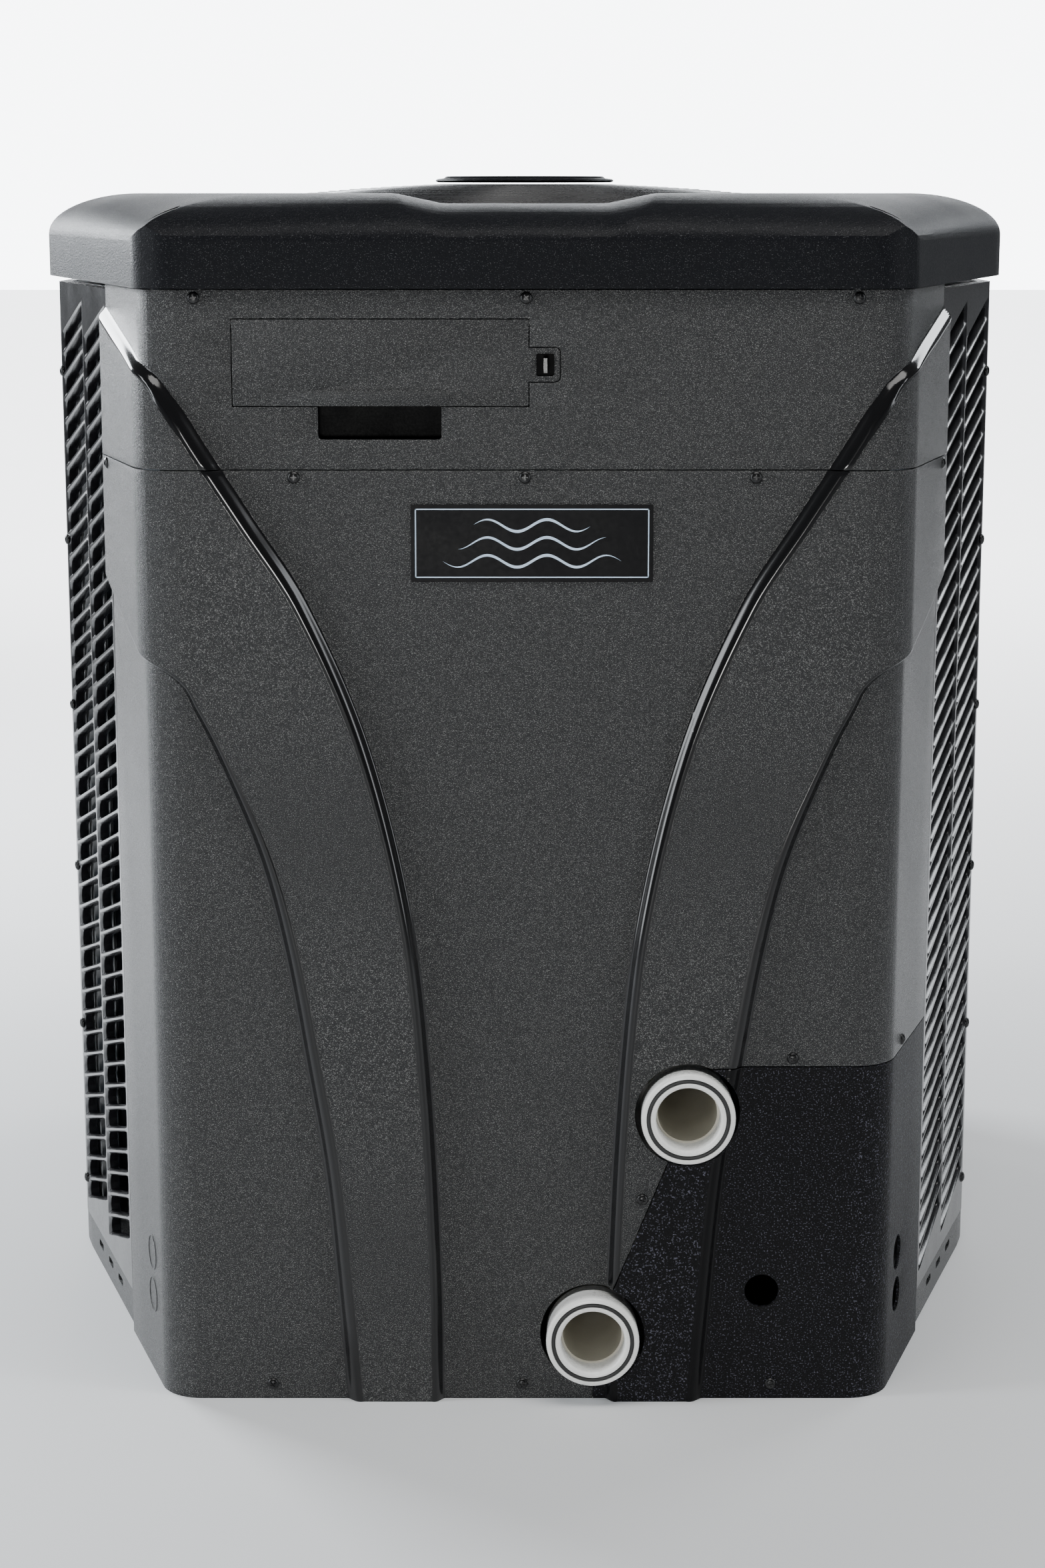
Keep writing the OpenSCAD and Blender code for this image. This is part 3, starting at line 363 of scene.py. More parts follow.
# grained casing plastic: fine grain with pale flecks painted in as glints of its sparkle, and a mask where it
# is left glossy, its base there painted near-black as a dark reflection
def casingMaterial(name, dark, glintColour, glintStart, rough, grainScale, grainDepth, glossy, specular=0.5):
    material, tree, shader, coords = startMaterial(name)
    shader.inputs["Specular IOR Level"].default_value = specular
    link = tree.links.new
    grain = noise(tree, coords, grainScale, 3.0, 0.6)
    # pale flecks in the base colour: painted glints standing for the sparkle of the grain
    paintedGlints = stretch(tree, noise(tree, coords, grainScale * 1.7, 1.0), glintStart, glintStart + 0.1)
    cloud = noise(tree, coords, 9.0, 3.0)
    base = blendColour(tree, cloud, dark, tuple(c * 1.35 for c in dark))
    base = blendColour(tree, paintedGlints, base, glintColour)
    roughness = calculate(tree, "ADD", stretch(tree, grain, 0.3, 0.7, rough - 0.06, rough + 0.06),
                          stretch(tree, cloud, 0.3, 0.7, -0.02, 0.02))
    depth = stretch(tree, grain, 0.25, 0.75)
    if glossy:
        attribute = tree.nodes.new("ShaderNodeAttribute")
        attribute.attribute_name = "shine"
        shine = attribute.outputs["Fac"]
        # the glossy strips are blended to a plain near-black: painted dark reflection, without the glint
        # flecks
        base = blendColour(tree, shine, base, (0.0045, 0.0045, 0.005))
        matte = calculate(tree, "SUBTRACT", 1.0, shine)
        roughness = calculate(tree, "ADD", calculate(tree, "MULTIPLY", roughness, matte),
                              calculate(tree, "MULTIPLY", shine, 0.13))
        depth = calculate(tree, "MULTIPLY", depth, matte)
    link(base, shader.inputs["Base Color"])
    link(roughness, shader.inputs["Roughness"])
    addBump(tree, shader, depth, grainDepth)
    return material


# anything that is one colour with slight mottling, scuffs and its own roughness
def plainMaterial(name, colour, other, scale, rough, metal=0.0, bumpDepth=0.0002, coat=0.0, specular=0.5):
    material, tree, shader, coords = startMaterial(name, metal=metal)
    shader.inputs["Specular IOR Level"].default_value = specular
    mottle = noise(tree, coords, scale, 4.0)
    fine = noise(tree, coords, scale * 14, 2.0)
    base = blendColour(tree, stretch(tree, mottle, 0.3, 0.7), colour, other)
    tree.links.new(base, shader.inputs["Base Color"])
    both = calculate(tree, "MULTIPLY", calculate(tree, "ADD", mottle, fine), 0.5)
    tree.links.new(stretch(tree, both, 0.3, 0.7, rough[0], rough[1]), shader.inputs["Roughness"])
    addBump(tree, shader, fine, bumpDepth)
    shader.inputs["Coat Weight"].default_value = coat
    shader.inputs["Coat Roughness"].default_value = 0.08
    return material


# zinc spangle: flat crystals of slightly different grey
def spangleMaterial(name):
    material, tree, shader, coords = startMaterial(name, metal=1.0)
    cells = tree.nodes.new("ShaderNodeTexVoronoi")
    cells.inputs["Scale"].default_value = 90.0
    tree.links.new(coords, cells.inputs["Vector"])
    tone = stretch(tree, cells.outputs["Color"], 0.0, 1.0)
    base = blendColour(tree, tone, (0.42, 0.43, 0.45), (0.62, 0.63, 0.64))
    tree.links.new(base, shader.inputs["Base Color"])
    tree.links.new(stretch(tree, tone, 0.0, 1.0, 0.32, 0.5), shader.inputs["Roughness"])
    addBump(tree, shader, noise(tree, coords, 300.0), 0.0001)
    return material


# coil: rows of thin blue-coated fins, with painted shade in the dark stripes of the gaps between them
def finMaterial(name):
    material, tree, shader, coords = startMaterial(name, metal=0.6)
    fins = tree.nodes.new("ShaderNodeTexWave")
    fins.wave_type = "RINGS"
    fins.rings_direction = "Z"
    fins.inputs["Scale"].default_value = 160.0
    tree.links.new(coords, fins.inputs["Vector"])
    dust = noise(tree, coords, 30.0, 4.0)
    # bright stripes are the fins' coating, dark stripes are painted shade in the gaps, both varied by dust
    line = calculate(tree, "MULTIPLY", fins.outputs["Fac"], stretch(tree, dust, 0.3, 0.7, 0.8, 1.0))
    base = blendColour(tree, line, (0.010, 0.014, 0.02), (0.10, 0.14, 0.18))
    tree.links.new(base, shader.inputs["Base Color"])
    tree.links.new(stretch(tree, dust, 0.3, 0.7, 0.35, 0.55), shader.inputs["Roughness"])
    addBump(tree, shader, fins.outputs["Fac"], 0.0006)
    return material


materials = {
    # the second colour of each casing finish is its painted glint flecks
    "textured_black": casingMaterial("textured_black", (0.0055, 0.006, 0.0068), (0.20, 0.20, 0.195), 0.575,
                                     0.29, 820.0, 0.0006, True, 0.42),
    "access": casingMaterial("textured_access", (0.003, 0.003, 0.0035), (0.10, 0.10, 0.13), 0.60,
                             0.45, 420.0, 0.0008, True, 0.12),
    "cover": casingMaterial("textured_cover", (0.004, 0.0045, 0.006), (0.07, 0.07, 0.075), 0.63,
                            0.40, 640.0, 0.0003, False, 0.1),
    "galvanised_steel": spangleMaterial("galvanised_steel"),
    "coil_fins": finMaterial("coil_fins"),
}
# colour and its variation, scale of the mottling, range of roughness, then anything else set
plainFinishes = {
    "gloss_black": ((0.006, 0.006, 0.007), (0.012, 0.012, 0.014), 26.0, (0.16, 0.26),
        {"bumpDepth": 0.00005}),
    "guard_black": ((0.004, 0.004, 0.005), (0.008, 0.008, 0.009), 26.0, (0.22, 0.36),
        {"bumpDepth": 0.00005}),
    "shroud_plastic": ((0.018, 0.018, 0.02), (0.03, 0.03, 0.032), 30.0, (0.4, 0.55), {}),
    "motor_enamel": ((0.012, 0.012, 0.013), (0.02, 0.02, 0.022), 24.0, (0.25, 0.4),
        {"bumpDepth": 0.0003, "coat": 0.3}),
    "bright_steel": ((0.32, 0.32, 0.33), (0.45, 0.45, 0.46), 60.0, (0.2, 0.35),
        {"metal": 1.0, "bumpDepth": 0.00005}),
    "black_steel": ((0.02, 0.02, 0.021), (0.05, 0.05, 0.05), 240.0, (0.18, 0.36),
        {"metal": 0.9, "bumpDepth": 0.00005}),
    "fan_aluminium": ((0.55, 0.56, 0.57), (0.66, 0.67, 0.68), 18.0, (0.28, 0.45),
        {"metal": 1.0, "bumpDepth": 0.0001}),
    "copper_tube": ((0.52, 0.20, 0.10), (0.68, 0.34, 0.20), 40.0, (0.22, 0.45),
        {"metal": 1.0, "bumpDepth": 0.0001}),
    "black_rubber": ((0.009, 0.009, 0.009), (0.018, 0.018, 0.018), 90.0, (0.35, 0.6),
        {"bumpDepth": 0.0001}),
    "white_pvc": ((0.84, 0.84, 0.81), (0.88, 0.88, 0.86), 20.0, (0.22, 0.34),
        {"bumpDepth": 0.00008, "coat": 0.2}),
    "darker_beige_pvc": ((0.56, 0.53, 0.44), (0.66, 0.63, 0.54), 26.0, (0.3, 0.5), {"bumpDepth": 0.0002}),
    "brass": ((0.58, 0.40, 0.16), (0.72, 0.54, 0.26), 50.0, (0.22, 0.4),
        {"metal": 1.0, "bumpDepth": 0.0001}),
    "drier_enamel": ((0.02, 0.10, 0.06), (0.03, 0.14, 0.09), 30.0, (0.25, 0.4),
        {"bumpDepth": 0.0001, "coat": 0.4}),
    "armature_plastic": ((0.50, 0.11, 0.03), (0.62, 0.16, 0.05), 60.0, (0.35, 0.5), {}),
    "circuit_board": ((0.01, 0.13, 0.05), (0.02, 0.20, 0.08), 120.0, (0.25, 0.45), {"bumpDepth": 0.0002}),
    "display_glass": ((0.16, 0.21, 0.17), (0.20, 0.26, 0.21), 12.0, (0.06, 0.12),
        {"bumpDepth": 0.00002, "coat": 1.0}),
    "button_rubber": ((0.26, 0.27, 0.29), (0.32, 0.33, 0.35), 80.0, (0.45, 0.6), {}),
    "label_film": ((0.002, 0.002, 0.0025), (0.003, 0.003, 0.004), 20.0, (0.35, 0.45),
        {"bumpDepth": 0.00003, "specular": 0.08}),
    # near-black with almost no reflection: painted shade for the control tray inside its recess
    "painted_shade_recess": ((0.001, 0.001, 0.0012), (0.002, 0.002, 0.0024), 40.0, (0.4, 0.55),
        {"bumpDepth": 0.0001, "specular": 0.06}),
    "label_ink": ((0.50, 0.66, 0.86), (0.62, 0.76, 0.92), 40.0, (0.4, 0.5), {"bumpDepth": 0.00003}),
}
for name, (*values, others) in plainFinishes.items():
    materials[name] = plainMaterial(name, *values, **others)
for part in frame["record"]["subparts"]:
    mesh = nodes[part["node"]].data
    mesh.materials.clear()
    mesh.materials.append(materials[part["material_slot"]])
# the control tray is painted near-black, as painted shade in the recess behind the door
nodes["control_tray"].data.materials[0] = materials["painted_shade_recess"]
nodes["lock_staple"].data.materials[0] = materials["gloss_black"]
print("materials on", len(nodes), "frame pieces")


# ---------- front panels ----------
front = {
    "bandBottom": 8.0 * mm,    # how far the band between the lines stands out
    "bandTop": 6.2 * mm,
    "rib": 2.6 * mm,           # extra height of the rounded ridge on each line
    "rowStep": 6.0 * mm,
    "holeR": 46.0 * mm,
    "entryR": 15.0 * mm,
    "entryX": 208.8 * mm,
    "entryZ": 101 * mm,
}
knockout = {
    "r": 16.0 * mm, "depth": 62 * mm, "heights": (114 * mm, 74 * mm), "width": 1.0 * mm, "rise": 0.5 * mm,
}
inletX, inletZ = 141.6 * mm, 265 * mm
outletX, outletZ = 59.7 * mm, 61 * mm
accessTop = 307 * mm
# centre of the two styling lines: height, then run from the middle, in millimetres
innerLine = [(0, 76.5), (120, 78), (300, 87), (440, 102.5), (590, 138.5), (710, 189), (780, 233.5),
             (840, 272), (880, 297), (901, 316), (915, 356), (931, 417), (946, 474), (965, 546), (985, 622)]
outerLine = [(0, 150), (77, 156), (210, 168), (313, 184), (411, 201), (491, 221), (566, 251),
             (620, 277), (650, 297), (668, 340), (686, 396), (715, 474), (760, 595), (985, 1200)]
innerWidth = [(0, 5.6), (300, 6.0), (600, 6.6), (820, 8.0), (875, 7.6), (905, 4.6), (930, 6.4), (990, 7.0)]
outerWidth = [(0, 7.4), (300, 7.2), (480, 6.0), (600, 3.6), (680, 2.2), (760, 2.0), (990, 2.0)]


def lineData(z):
    data = []
    for line, width in ((innerLine, innerWidth), (outerLine, outerWidth)):
        run, rate = curveValue(line, z / mm)
        half, _ = curveValue(width, z / mm)
        data.append((run * mm, math.sqrt(1 + rate * rate), half * mm))
    return data


def relief(run, z, data):
    # how far the skin stands out, and how glossy it is
    (inRun, inSec, inHalf), (outRun, outSec, outHalf) = data
    a = abs(run)
    q = (a - inRun) / inSec / inHalf
    p = (a - outRun) / outSec / outHalf
    share = min(max(z / (950 * mm), 0.0), 1.0)
    band = front["bandBottom"] + (front["bandTop"] - front["bandBottom"]) * share
    out = band * smoothStep((q + 1) / 2) * (1 - smoothStep((p + 1) / 2))
    ribShare = min(1.0, outHalf / (6 * mm))
    out += front["rib"] * (max(0.0, 1 - q * q) ** 1.5 + ribShare * max(0.0, 1 - p * p) ** 1.5)
    shine = max(1 - smoothStep((abs(q) - 0.86) / 0.3), 1 - smoothStep((abs(p) - 0.86) / 0.3))
    return out, shine


beadColumns = [-1.35, -1.08, -0.88, -0.68, -0.45, -0.22, 0.0, 0.22, 0.45, 0.68, 0.88, 1.08, 1.35]


def columnRuns(z, data):
    (inRun, inSec, inHalf), (outRun, outSec, outHalf) = data
    inner = [inRun + q * inHalf * inSec for q in beadColumns]
    outer = [outRun + q * outHalf * outSec for q in beadColumns]
    far = max(outer[-1] + 40 * mm, rearRun + 30 * mm)
    centre = [inner[0] * k / 5 for k in range(5)]
    band = [inner[-1] + (outer[0] - inner[-1]) * k / 5 for k in range(1, 5)]
    outside = [outer[-1] + (far - outer[-1]) * k / 4 for k in range(1, 5)]
    half = centre + inner + band + outer + outside
    return [-r for r in reversed(half[1:])] + half


def rowHeights(low, high):
    heights = [low]
    while heights[-1] < high:
        data = lineData(heights[-1])
        steep = data[0][1]
        if data[1][0] < rearRun + 20 * mm:
            steep = max(steep, data[1][1])
        heights.append(heights[-1] + max(front["rowStep"] / steep, 1.6 * mm))
    heights[-1] = high
    return heights


def splitAt(bm, point, normal, keepSide=0):
    geom = bm.verts[:] + bm.edges[:] + bm.faces[:]
    bmesh.ops.bisect_plane(bm, geom=geom, plane_co=point, plane_no=normal, dist=1e-7,
                           clear_outer=keepSide < 0, clear_inner=keepSide > 0)


def panelSheet(low, high):
    # the skin laid flat: run across, height up, outwards along -Y
    heights = rowHeights(low, high)
    table = []
    for z in heights:
        data = lineData(z)
        table.append((z, data, columnRuns(z, data)))
    across, up = len(table[0][2]) - 1, len(heights) - 1
    bm = bmesh.new()
    shineLayer = bm.verts.layers.float.new("shine")
    bmesh.ops.create_grid(bm, x_segments=across, y_segments=up, size=1.0)
    for v in bm.verts:
        i = round((v.co.x + 1) / 2 * across)
        z, data, runs = table[round((v.co.y + 1) / 2 * up)]
        out, shine = relief(runs[i], z, data)
        v.co = (runs[i], -out, z)
        v[shineLayer] = shine
    splitAt(bm, (rearRun, 0, 0), (1, 0, 0), -1)
    splitAt(bm, (-rearRun, 0, 0), (-1, 0, 0), -1)
    filletSteps = 10
    for k in range(filletSteps + 1):
        for side in (-1, 1):
            splitAt(bm, (side * (flatHalf + (arcEnd - flatHalf) * k / filletSteps), 0, 0), (1, 0, 0))
    return bm


def thicken(obj, extra):
    addSkin(obj, cabinet["skin"])
    cut(obj, extra)
    softenEdges(obj, 0.5 * mm, 55)


def wrapPanel(obj):
    for v in obj.data.vertices:
        x, y = wrap(v.co.x, -v.co.y)
        v.co = (x, y, v.co.z)
    obj.data.update()


unionPlaces = [(inletX, inletZ), (outletX, outletZ)]


def unionCutters():
    return [rodCutter((x, 0, z), front["holeR"]) for x, z in unionPlaces]


# the access panel's edge: up beside the outlet, slanting to the inlet, up, then across
slant = Vector((inletX - outletX, 0, inletZ - outletZ)).normalized()
slantNormal = Vector((slant.z, 0, -slant.x))


def accessSide(c, shift):
    # true where a point belongs to the access panel, whose edge is moved in by shift
    if c.z > accessTop - shift or c.x < outletX + shift:
        return False
    if c.z > inletZ:
        return c.x > inletX + shift
    if c.z < outletZ:
        return c.x > outletX + shift
    return (c - Vector((outletX, 0, outletZ))).dot(slantNormal) > shift


def lowerPanels():
    bm = panelSheet(0.15 * mm, seamZ - gap / 2)
    for shift in (0.0, gap):
        splitAt(bm, (0, 0, accessTop - shift), (0, 0, 1))
        splitAt(bm, (inletX + shift, 0, 0), (1, 0, 0))
        splitAt(bm, (outletX + shift, 0, 0), (1, 0, 0))
        splitAt(bm, Vector((outletX, 0, outletZ)) + slantNormal * shift, slantNormal)
    splitAt(bm, (0, 0, inletZ), (0, 0, 1))
    splitAt(bm, (0, 0, outletZ), (0, 0, 1))
    access = bm.copy()
    drop = [f for f in bm.faces if accessSide(f.calc_center_median(), 0.0)]
    bmesh.ops.delete(bm, geom=drop, context="FACES")
    drop = [f for f in access.faces if not accessSide(f.calc_center_median(), gap)]
    bmesh.ops.delete(access, geom=drop, context="FACES")
    lower = fromBmesh("lowerFrontPanel", bm)
    thicken(lower, unionCutters())
    wrapPanel(lower)
    place(lower, materials["textured_black"], stands=["lower_front_panel"])
    panel = fromBmesh("pipeAccessPanel", access)
    holes = unionCutters()
    holes.append(rodCutter((front["entryX"], 0, front["entryZ"]), front["entryR"]))
    for z in knockout["heights"]:
        holes.append(rodCutter((depthToRun(knockout["depth"]), 0, z), knockout["r"]))
    thicken(panel, holes)
    wrapPanel(panel)
    place(panel, materials["access"], stands=["pipe_access_panel"])


lowerPanels()
print("lower front panels")

door = {
    "x0": -243.4 * mm, "x1": 3.9 * mm, "z0": 875.9 * mm, "z1": 948.6 * mm,
    "tabX": 29.9 * mm, "tabZ0": 895.9 * mm, "tabZ1": 925.4 * mm,
    "fingerX0": -172 * mm, "fingerX1": -69.3 * mm, "fingerZ": 848.9 * mm,
    "gap": 0.9 * mm, "thick": 2.8 * mm,
    "thumbX0": -177 * mm, "thumbX1": -63.6 * mm, "thumbZ": 889.5 * mm,
    "windowX": 16.9 * mm, "windowZ": 910.65 * mm, "windowW": 15 * mm, "windowH": 18.5 * mm,
    "pinZ": 945.3 * mm, "pinHole": 1.3 * mm, "barrelR": 3 * mm, "barrelLength": 246.7 * mm,
}


def upperPanel():
    obj = fromBmesh("upperFrontPanel", panelSheet(seamZ + gap / 2, panelTop))
    d = door
    cutters = [
        boxCutter((d["x0"], -0.02, d["z0"]), (d["x1"], 0.02, d["z1"]), 0.6 * mm),
        boxCutter((d["x1"] - 8 * mm, -0.03, d["tabZ0"]), (d["tabX"], 0.03, d["tabZ1"]), 5 * mm),
        boxCutter((d["fingerX0"], -0.025, d["fingerZ"]), (d["fingerX1"], 0.025, d["z0"] + 8 * mm), 3 * mm),
    ]
    thicken(obj, cutters)
    wrapPanel(obj)
    place(obj, materials["textured_black"], stands=["upper_front_panel"])


upperPanel()
print("upper front panel")


# ---------- closed knock-outs on the left flank ----------
def knockoutRings():
    k = knockout
    x, y = wrap(-depthToRun(k["depth"]), 0)
    outward = (-math.cos(cabinet["flankAngle"]), -math.sin(cabinet["flankAngle"]), 0)
    r, w, rise = k["r"], k["width"], k["rise"]
    ring = [(r, -0.4 * mm), (r, rise * 0.7), (r - 0.3 * mm, rise), (r - w + 0.3 * mm, rise),
            (r - w, rise * 0.7), (r - w, -0.4 * mm)]
    bm = bmesh.new()
    for z in k["heights"]:
        spinProfile(bm, ring, (x, y, z), outward, 48, closed=True)
    closeAndTurnOut(bm)
    obj = fromBmesh("knockoutRings", bm)
    place(obj, materials["textured_black"])


knockoutRings()


# ---------- top cover ----------
cover = {
    "over": 4.9 * mm, "fasciaTop": 1011.4 * mm, "rim": 1050 * mm, "step": 24 * mm,
    "outletR": 371 * mm, "flangeZ": 1018 * mm, "dip": 8.6 * mm, "dipFloor": 70 * mm,
    "dipReach": 41 * mm, "rings": 14, "wall": 3 * mm,
}
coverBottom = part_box("top_cover")[0].z


def cabinetOutline(bowSteps=6):
    fh, hd, a = cabinet["faceHalf"], cabinet["halfDepth"], cabinet["flankAngle"]
    bowR = cabinet["sideHalf"] / math.sin(a)
    bowX = creaseX - bowR * math.cos(a)
    points = [Vector((-fh, -hd)), Vector((fh, -hd))]
    angles = [a * (2 * k / bowSteps - 1) for k in range(bowSteps + 1)]
    points += [Vector((bowX + bowR * math.cos(t), bowR * math.sin(t))) for t in angles]
    points += [Vector((fh, hd)), Vector((-fh, hd))]
    points += [Vector((-bowX - bowR * math.cos(t), -bowR * math.sin(t))) for t in angles]
    return points


def offsetOutline(points, out):
    moved = []
    for i, q in enumerate(points):
        p, r = points[i - 1], points[(i + 1) % len(points)]
        u, v = (q - p).normalized(), (r - q).normalized()
        w = Vector((u.y, -u.x)) + Vector((v.y, -v.x))
        moved.append(q + w * out * 2 / w.dot(w))
    return moved


def sampleOutline(points, step):
    made = []
    for p, q in zip(points, points[1:] + points[:1]):
        count = max(1, round((q - p).length / step))
        made += [p.lerp(q, k / count) for k in range(count)]
    return made


def roundOutline(points, radius, steps=10):
    made = []
    for i, q in enumerate(points):
        p, r = points[i - 1], points[(i + 1) % len(points)]
        u, v = (q - p).normalized(), (r - q).normalized()
        bend = math.atan2(u.x * v.y - u.y * v.x, u.dot(v))
        if bend < math.radians(30):
            made.append(q)
            continue
        start = q - u * radius * math.tan(bend / 2)
        centre = start + Vector((-u.y, u.x)) * radius
        base = math.atan2(u.y, u.x) - math.pi / 2
        for k in range(steps + 1):
            t = base + bend * k / steps
            made.append(centre + Vector((math.cos(t), math.sin(t))) * radius)
    return made


def prism(points, z0, z1):
    bm = bmesh.new()
    extrudeUp(bm, bm.faces.new([bm.verts.new((p.x, p.y, z0)) for p in points]), z1 - z0)
    turnOut(bm)
    return bm


slit = {"length": 46 * mm, "bulge": 7.5 * mm, "tall": 80 * mm, "low": 995 * mm, "inset": 2 * mm,
        "back": 20 * mm, "lean": math.radians(4), "steps": 14}


def slitCutter(side):
    # a leaf between a straight line and an arc, standing upright beside the corner crease
    bm = bmesh.new()
    low, high = [], []
    for k in range(slit["steps"] + 1):
        t = k / slit["steps"]
        low.append(Vector((t * slit["length"], 0.0, 0.0)))
        high.append(Vector((t * slit["length"], slit["bulge"] * math.sin(math.pi * t ** 1.25), 0.0)))
    extrudeUp(bm, bm.faces.new([bm.verts.new(p) for p in low + high[-2:0:-1]]), slit["tall"])
    half = (math.pi / 2 + cabinet["flankAngle"]) / 2
    turnBy = Matrix.Rotation(math.pi - half - slit["lean"], 3, "Z")
    turnAll(bm, turnBy)
    corner = (cabinet["faceHalf"] - slit["inset"], frontY + slit["back"], slit["low"])
    bmesh.ops.translate(bm, vec=corner, verts=bm.verts)
    if side < 0:
        bmesh.ops.scale(bm, vec=(-1, 1, 1), verts=bm.verts)
    turnOut(bm)
    return fromBmesh("cutter", bm)


def topCover():
    c = cover
    base = sampleOutline(offsetOutline(cabinetOutline(), c["over"]), c["step"])
    rise = c["rim"] - c["fasciaTop"]
    profile = [(0.0, coverBottom), (0.0, c["fasciaTop"] - 12 * mm), (0.0, c["fasciaTop"])]
    for k in range(1, c["rings"] + 1):
        a = math.pi / 2 * k / c["rings"]
        profile.append((1 - math.cos(a), c["fasciaTop"] + rise * math.sin(a)))
    profile.append((1.0, c["flangeZ"]))
    bm = bmesh.new()
    rings = []
    for share, z in profile:
        spots = [p.lerp(p.normalized() * c["outletR"], share) for p in base]
        rings.append(addRing(bm, [(q.x, q.y, z) for q in spots]))
    bridgeRings(bm, rings)
    bmesh.ops.holes_fill(bm, edges=[e for e in bm.edges if e.is_boundary], sides=0)
    turnOut(bm)
    obj = fromBmesh("topCover", bm)
    outline = roundOutline(offsetOutline(cabinetOutline(), c["over"] + 0.15 * mm), 45 * mm)
    corner = fromBmesh("cutter", prism(outline, coverBottom - 10 * mm, c["rim"] + 20 * mm))
    cut(obj, [corner], "INTERSECT")
    cut(obj, [slitCutter(side) for side in (-1, 1)])
    bm = bmesh.new()
    bm.from_mesh(obj.data)
    flat = [f for f in bm.faces if abs(f.normal.z) > 0.99 and f.calc_area() > 0.1]
    bmesh.ops.delete(bm, geom=flat, context="FACES")
    for k in range(-20, 21):
        near = [f for f in bm.faces if f.calc_center_median().y < frontY + 150 * mm]
        geom = list({e for f in near for e in f.edges}) + list({v for f in near for v in f.verts}) + near
        bmesh.ops.bisect_plane(bm, geom=geom, plane_co=(k * 6 * mm, 0, 0), plane_no=(1, 0, 0), dist=1e-6)
    edge = frontY - c["over"]
    for v in bm.verts:
        if v.co.y > 0 or v.co.z < c["fasciaTop"]:
            continue
        reach = -math.sqrt(max(0.0, c["outletR"] ** 2 - v.co.x ** 2)) - edge
        t = min(max((v.co.y - edge) / reach, 0.0), 1.0)
        arc = math.sqrt(max(0.0, 1 - (1 - t) ** 2))
        floor = c["fasciaTop"] + (rise - c["dip"]) * arc
        limit = floor + max(0.0, abs(v.co.x) - c["dipFloor"]) * c["dip"] / c["dipReach"]
        v.co.z = min(v.co.z, limit)
    lip = [e for e in bm.edges if all(abs(v.co.xy.length - c["outletR"]) < 0.3 * mm
                                      and v.co.z > c["rim"] - 12 * mm for v in e.verts)
           and abs(e.verts[0].co.z - e.verts[1].co.z) < 3 * mm]
    bevelEdges(bm, lip, 1.6 * mm, 3)
    fascia = [e for e in bm.edges if all(abs(v.co.z - c["fasciaTop"]) < 0.01 * mm for v in e.verts)]
    bevelEdges(bm, fascia, 1.2 * mm, 2)
    turnOut(bm)
    bm.to_mesh(obj.data)
    bm.free()
    addSkin(obj, c["wall"])
    place(obj, materials["cover"], stands=["top_cover"], sharpAngle=19)


topCover()
print("top cover")


# ---------- fan guard ----------
guard = {
    "discR": 86.5 * mm, "discTop": 1066 * mm, "rings": 28, "ringW": 4 * mm, "spokes": 8, "spokeH": 5 * mm,
}
guardR = cover["outletR"] - 1.5 * mm


def domeHeight(r):
    return guard["discTop"] - 6 * mm - (r / (213 * mm)) ** 2 * 10 * mm


def fanGuard():
    g = guard
    bm = bmesh.new()
    pitch = (guardR - g["discR"]) / g["rings"]
    half = g["ringW"] / 2
    for k in range(g["rings"]):
        r = g["discR"] + k * pitch + half
        z = domeHeight(r) - half + 0.2 * mm
        spinProfile(bm, roundProfile(r, z, half, 7), (0, 0, 0), (0, 0, 1), 96, closed=True)
    inner = guardR - g["ringW"]
    top = domeHeight(guardR)
    wall = [(guardR, cover["flangeZ"]), (guardR, top - 1 * mm), (guardR - 1 * mm, top),
            (inner + 1 * mm, top), (inner, top - 1 * mm), (inner, cover["flangeZ"])]
    spinProfile(bm, wall, (0, 0, 0), (0, 0, 1), 128, closed=True)
    for k in range(g["spokes"] // 2):
        bar = bmesh.new()
        addBox(bar, (-inner, -3 * mm, 0), (inner, 3 * mm, g["spokeH"]))
        edges = [e for e in bar.edges if abs(e.verts[0].co.x - e.verts[1].co.x) > inner]
        bmesh.ops.subdivide_edges(bar, edges=edges, cuts=24, use_grid_fill=True)
        for v in bar.verts:
            v.co.z += domeHeight(abs(v.co.x)) - g["ringW"] - g["spokeH"]
        turnBy = Matrix.Rotation(math.pi * k / (g["spokes"] / 2) + math.radians(22.5), 3, "Z")
        turnAll(bar, turnBy)
        absorb(bm, bar)
    hub = [(0, domeHeight(0) - 9 * mm), (90 * mm, domeHeight(90 * mm) - 9 * mm),
           (90 * mm, domeHeight(90 * mm) - 4 * mm), (0, domeHeight(0) - 4 * mm)]
    spinProfile(bm, hub, (0, 0, 0), (0, 0, 1), 96)
    closeAndTurnOut(bm)
    obj = fromBmesh("fanGuard", bm)
    place(obj, materials["guard_black"], stands=["fan_guard"], sharpAngle=40)
    disc = bmesh.new()
    low, top, r = g["discTop"] - 6 * mm, g["discTop"], g["discR"]
    profile = [(0, low), (r - 3 * mm, low), (r - 1 * mm, low + 0.6 * mm), (r, low + 1.6 * mm),
               (r - 0.4 * mm, low + 2.7 * mm), (r - 2 * mm, low + 3.4 * mm), (r - 8 * mm, low + 4 * mm),
               (r - 9.5 * mm, low + 5.4 * mm), (r - 11 * mm, top - 0.1 * mm), (r - 20 * mm, top), (0, top)]
    spinProfile(disc, profile, (0, 0, 0), (0, 0, 1), 96)
    closeAndTurnOut(disc)
    obj = fromBmesh("guardCentreDisc", disc)
    place(obj, materials["cover"], stands=["guard_centre_disc"], sharpAngle=35)


fanGuard()
print("fan guard")


# ---------- side grilles ----------
grilleValues = {
    "pitch": 21.7 * mm, "slotH": 16.5 * mm, "slotW": 104 * mm, "slope": math.radians(17),
    "thick": 12 * mm, "endR": 8 * mm, "low": 40.5 * mm, "high": 967.8 * mm, "margin": 14 * mm,
}


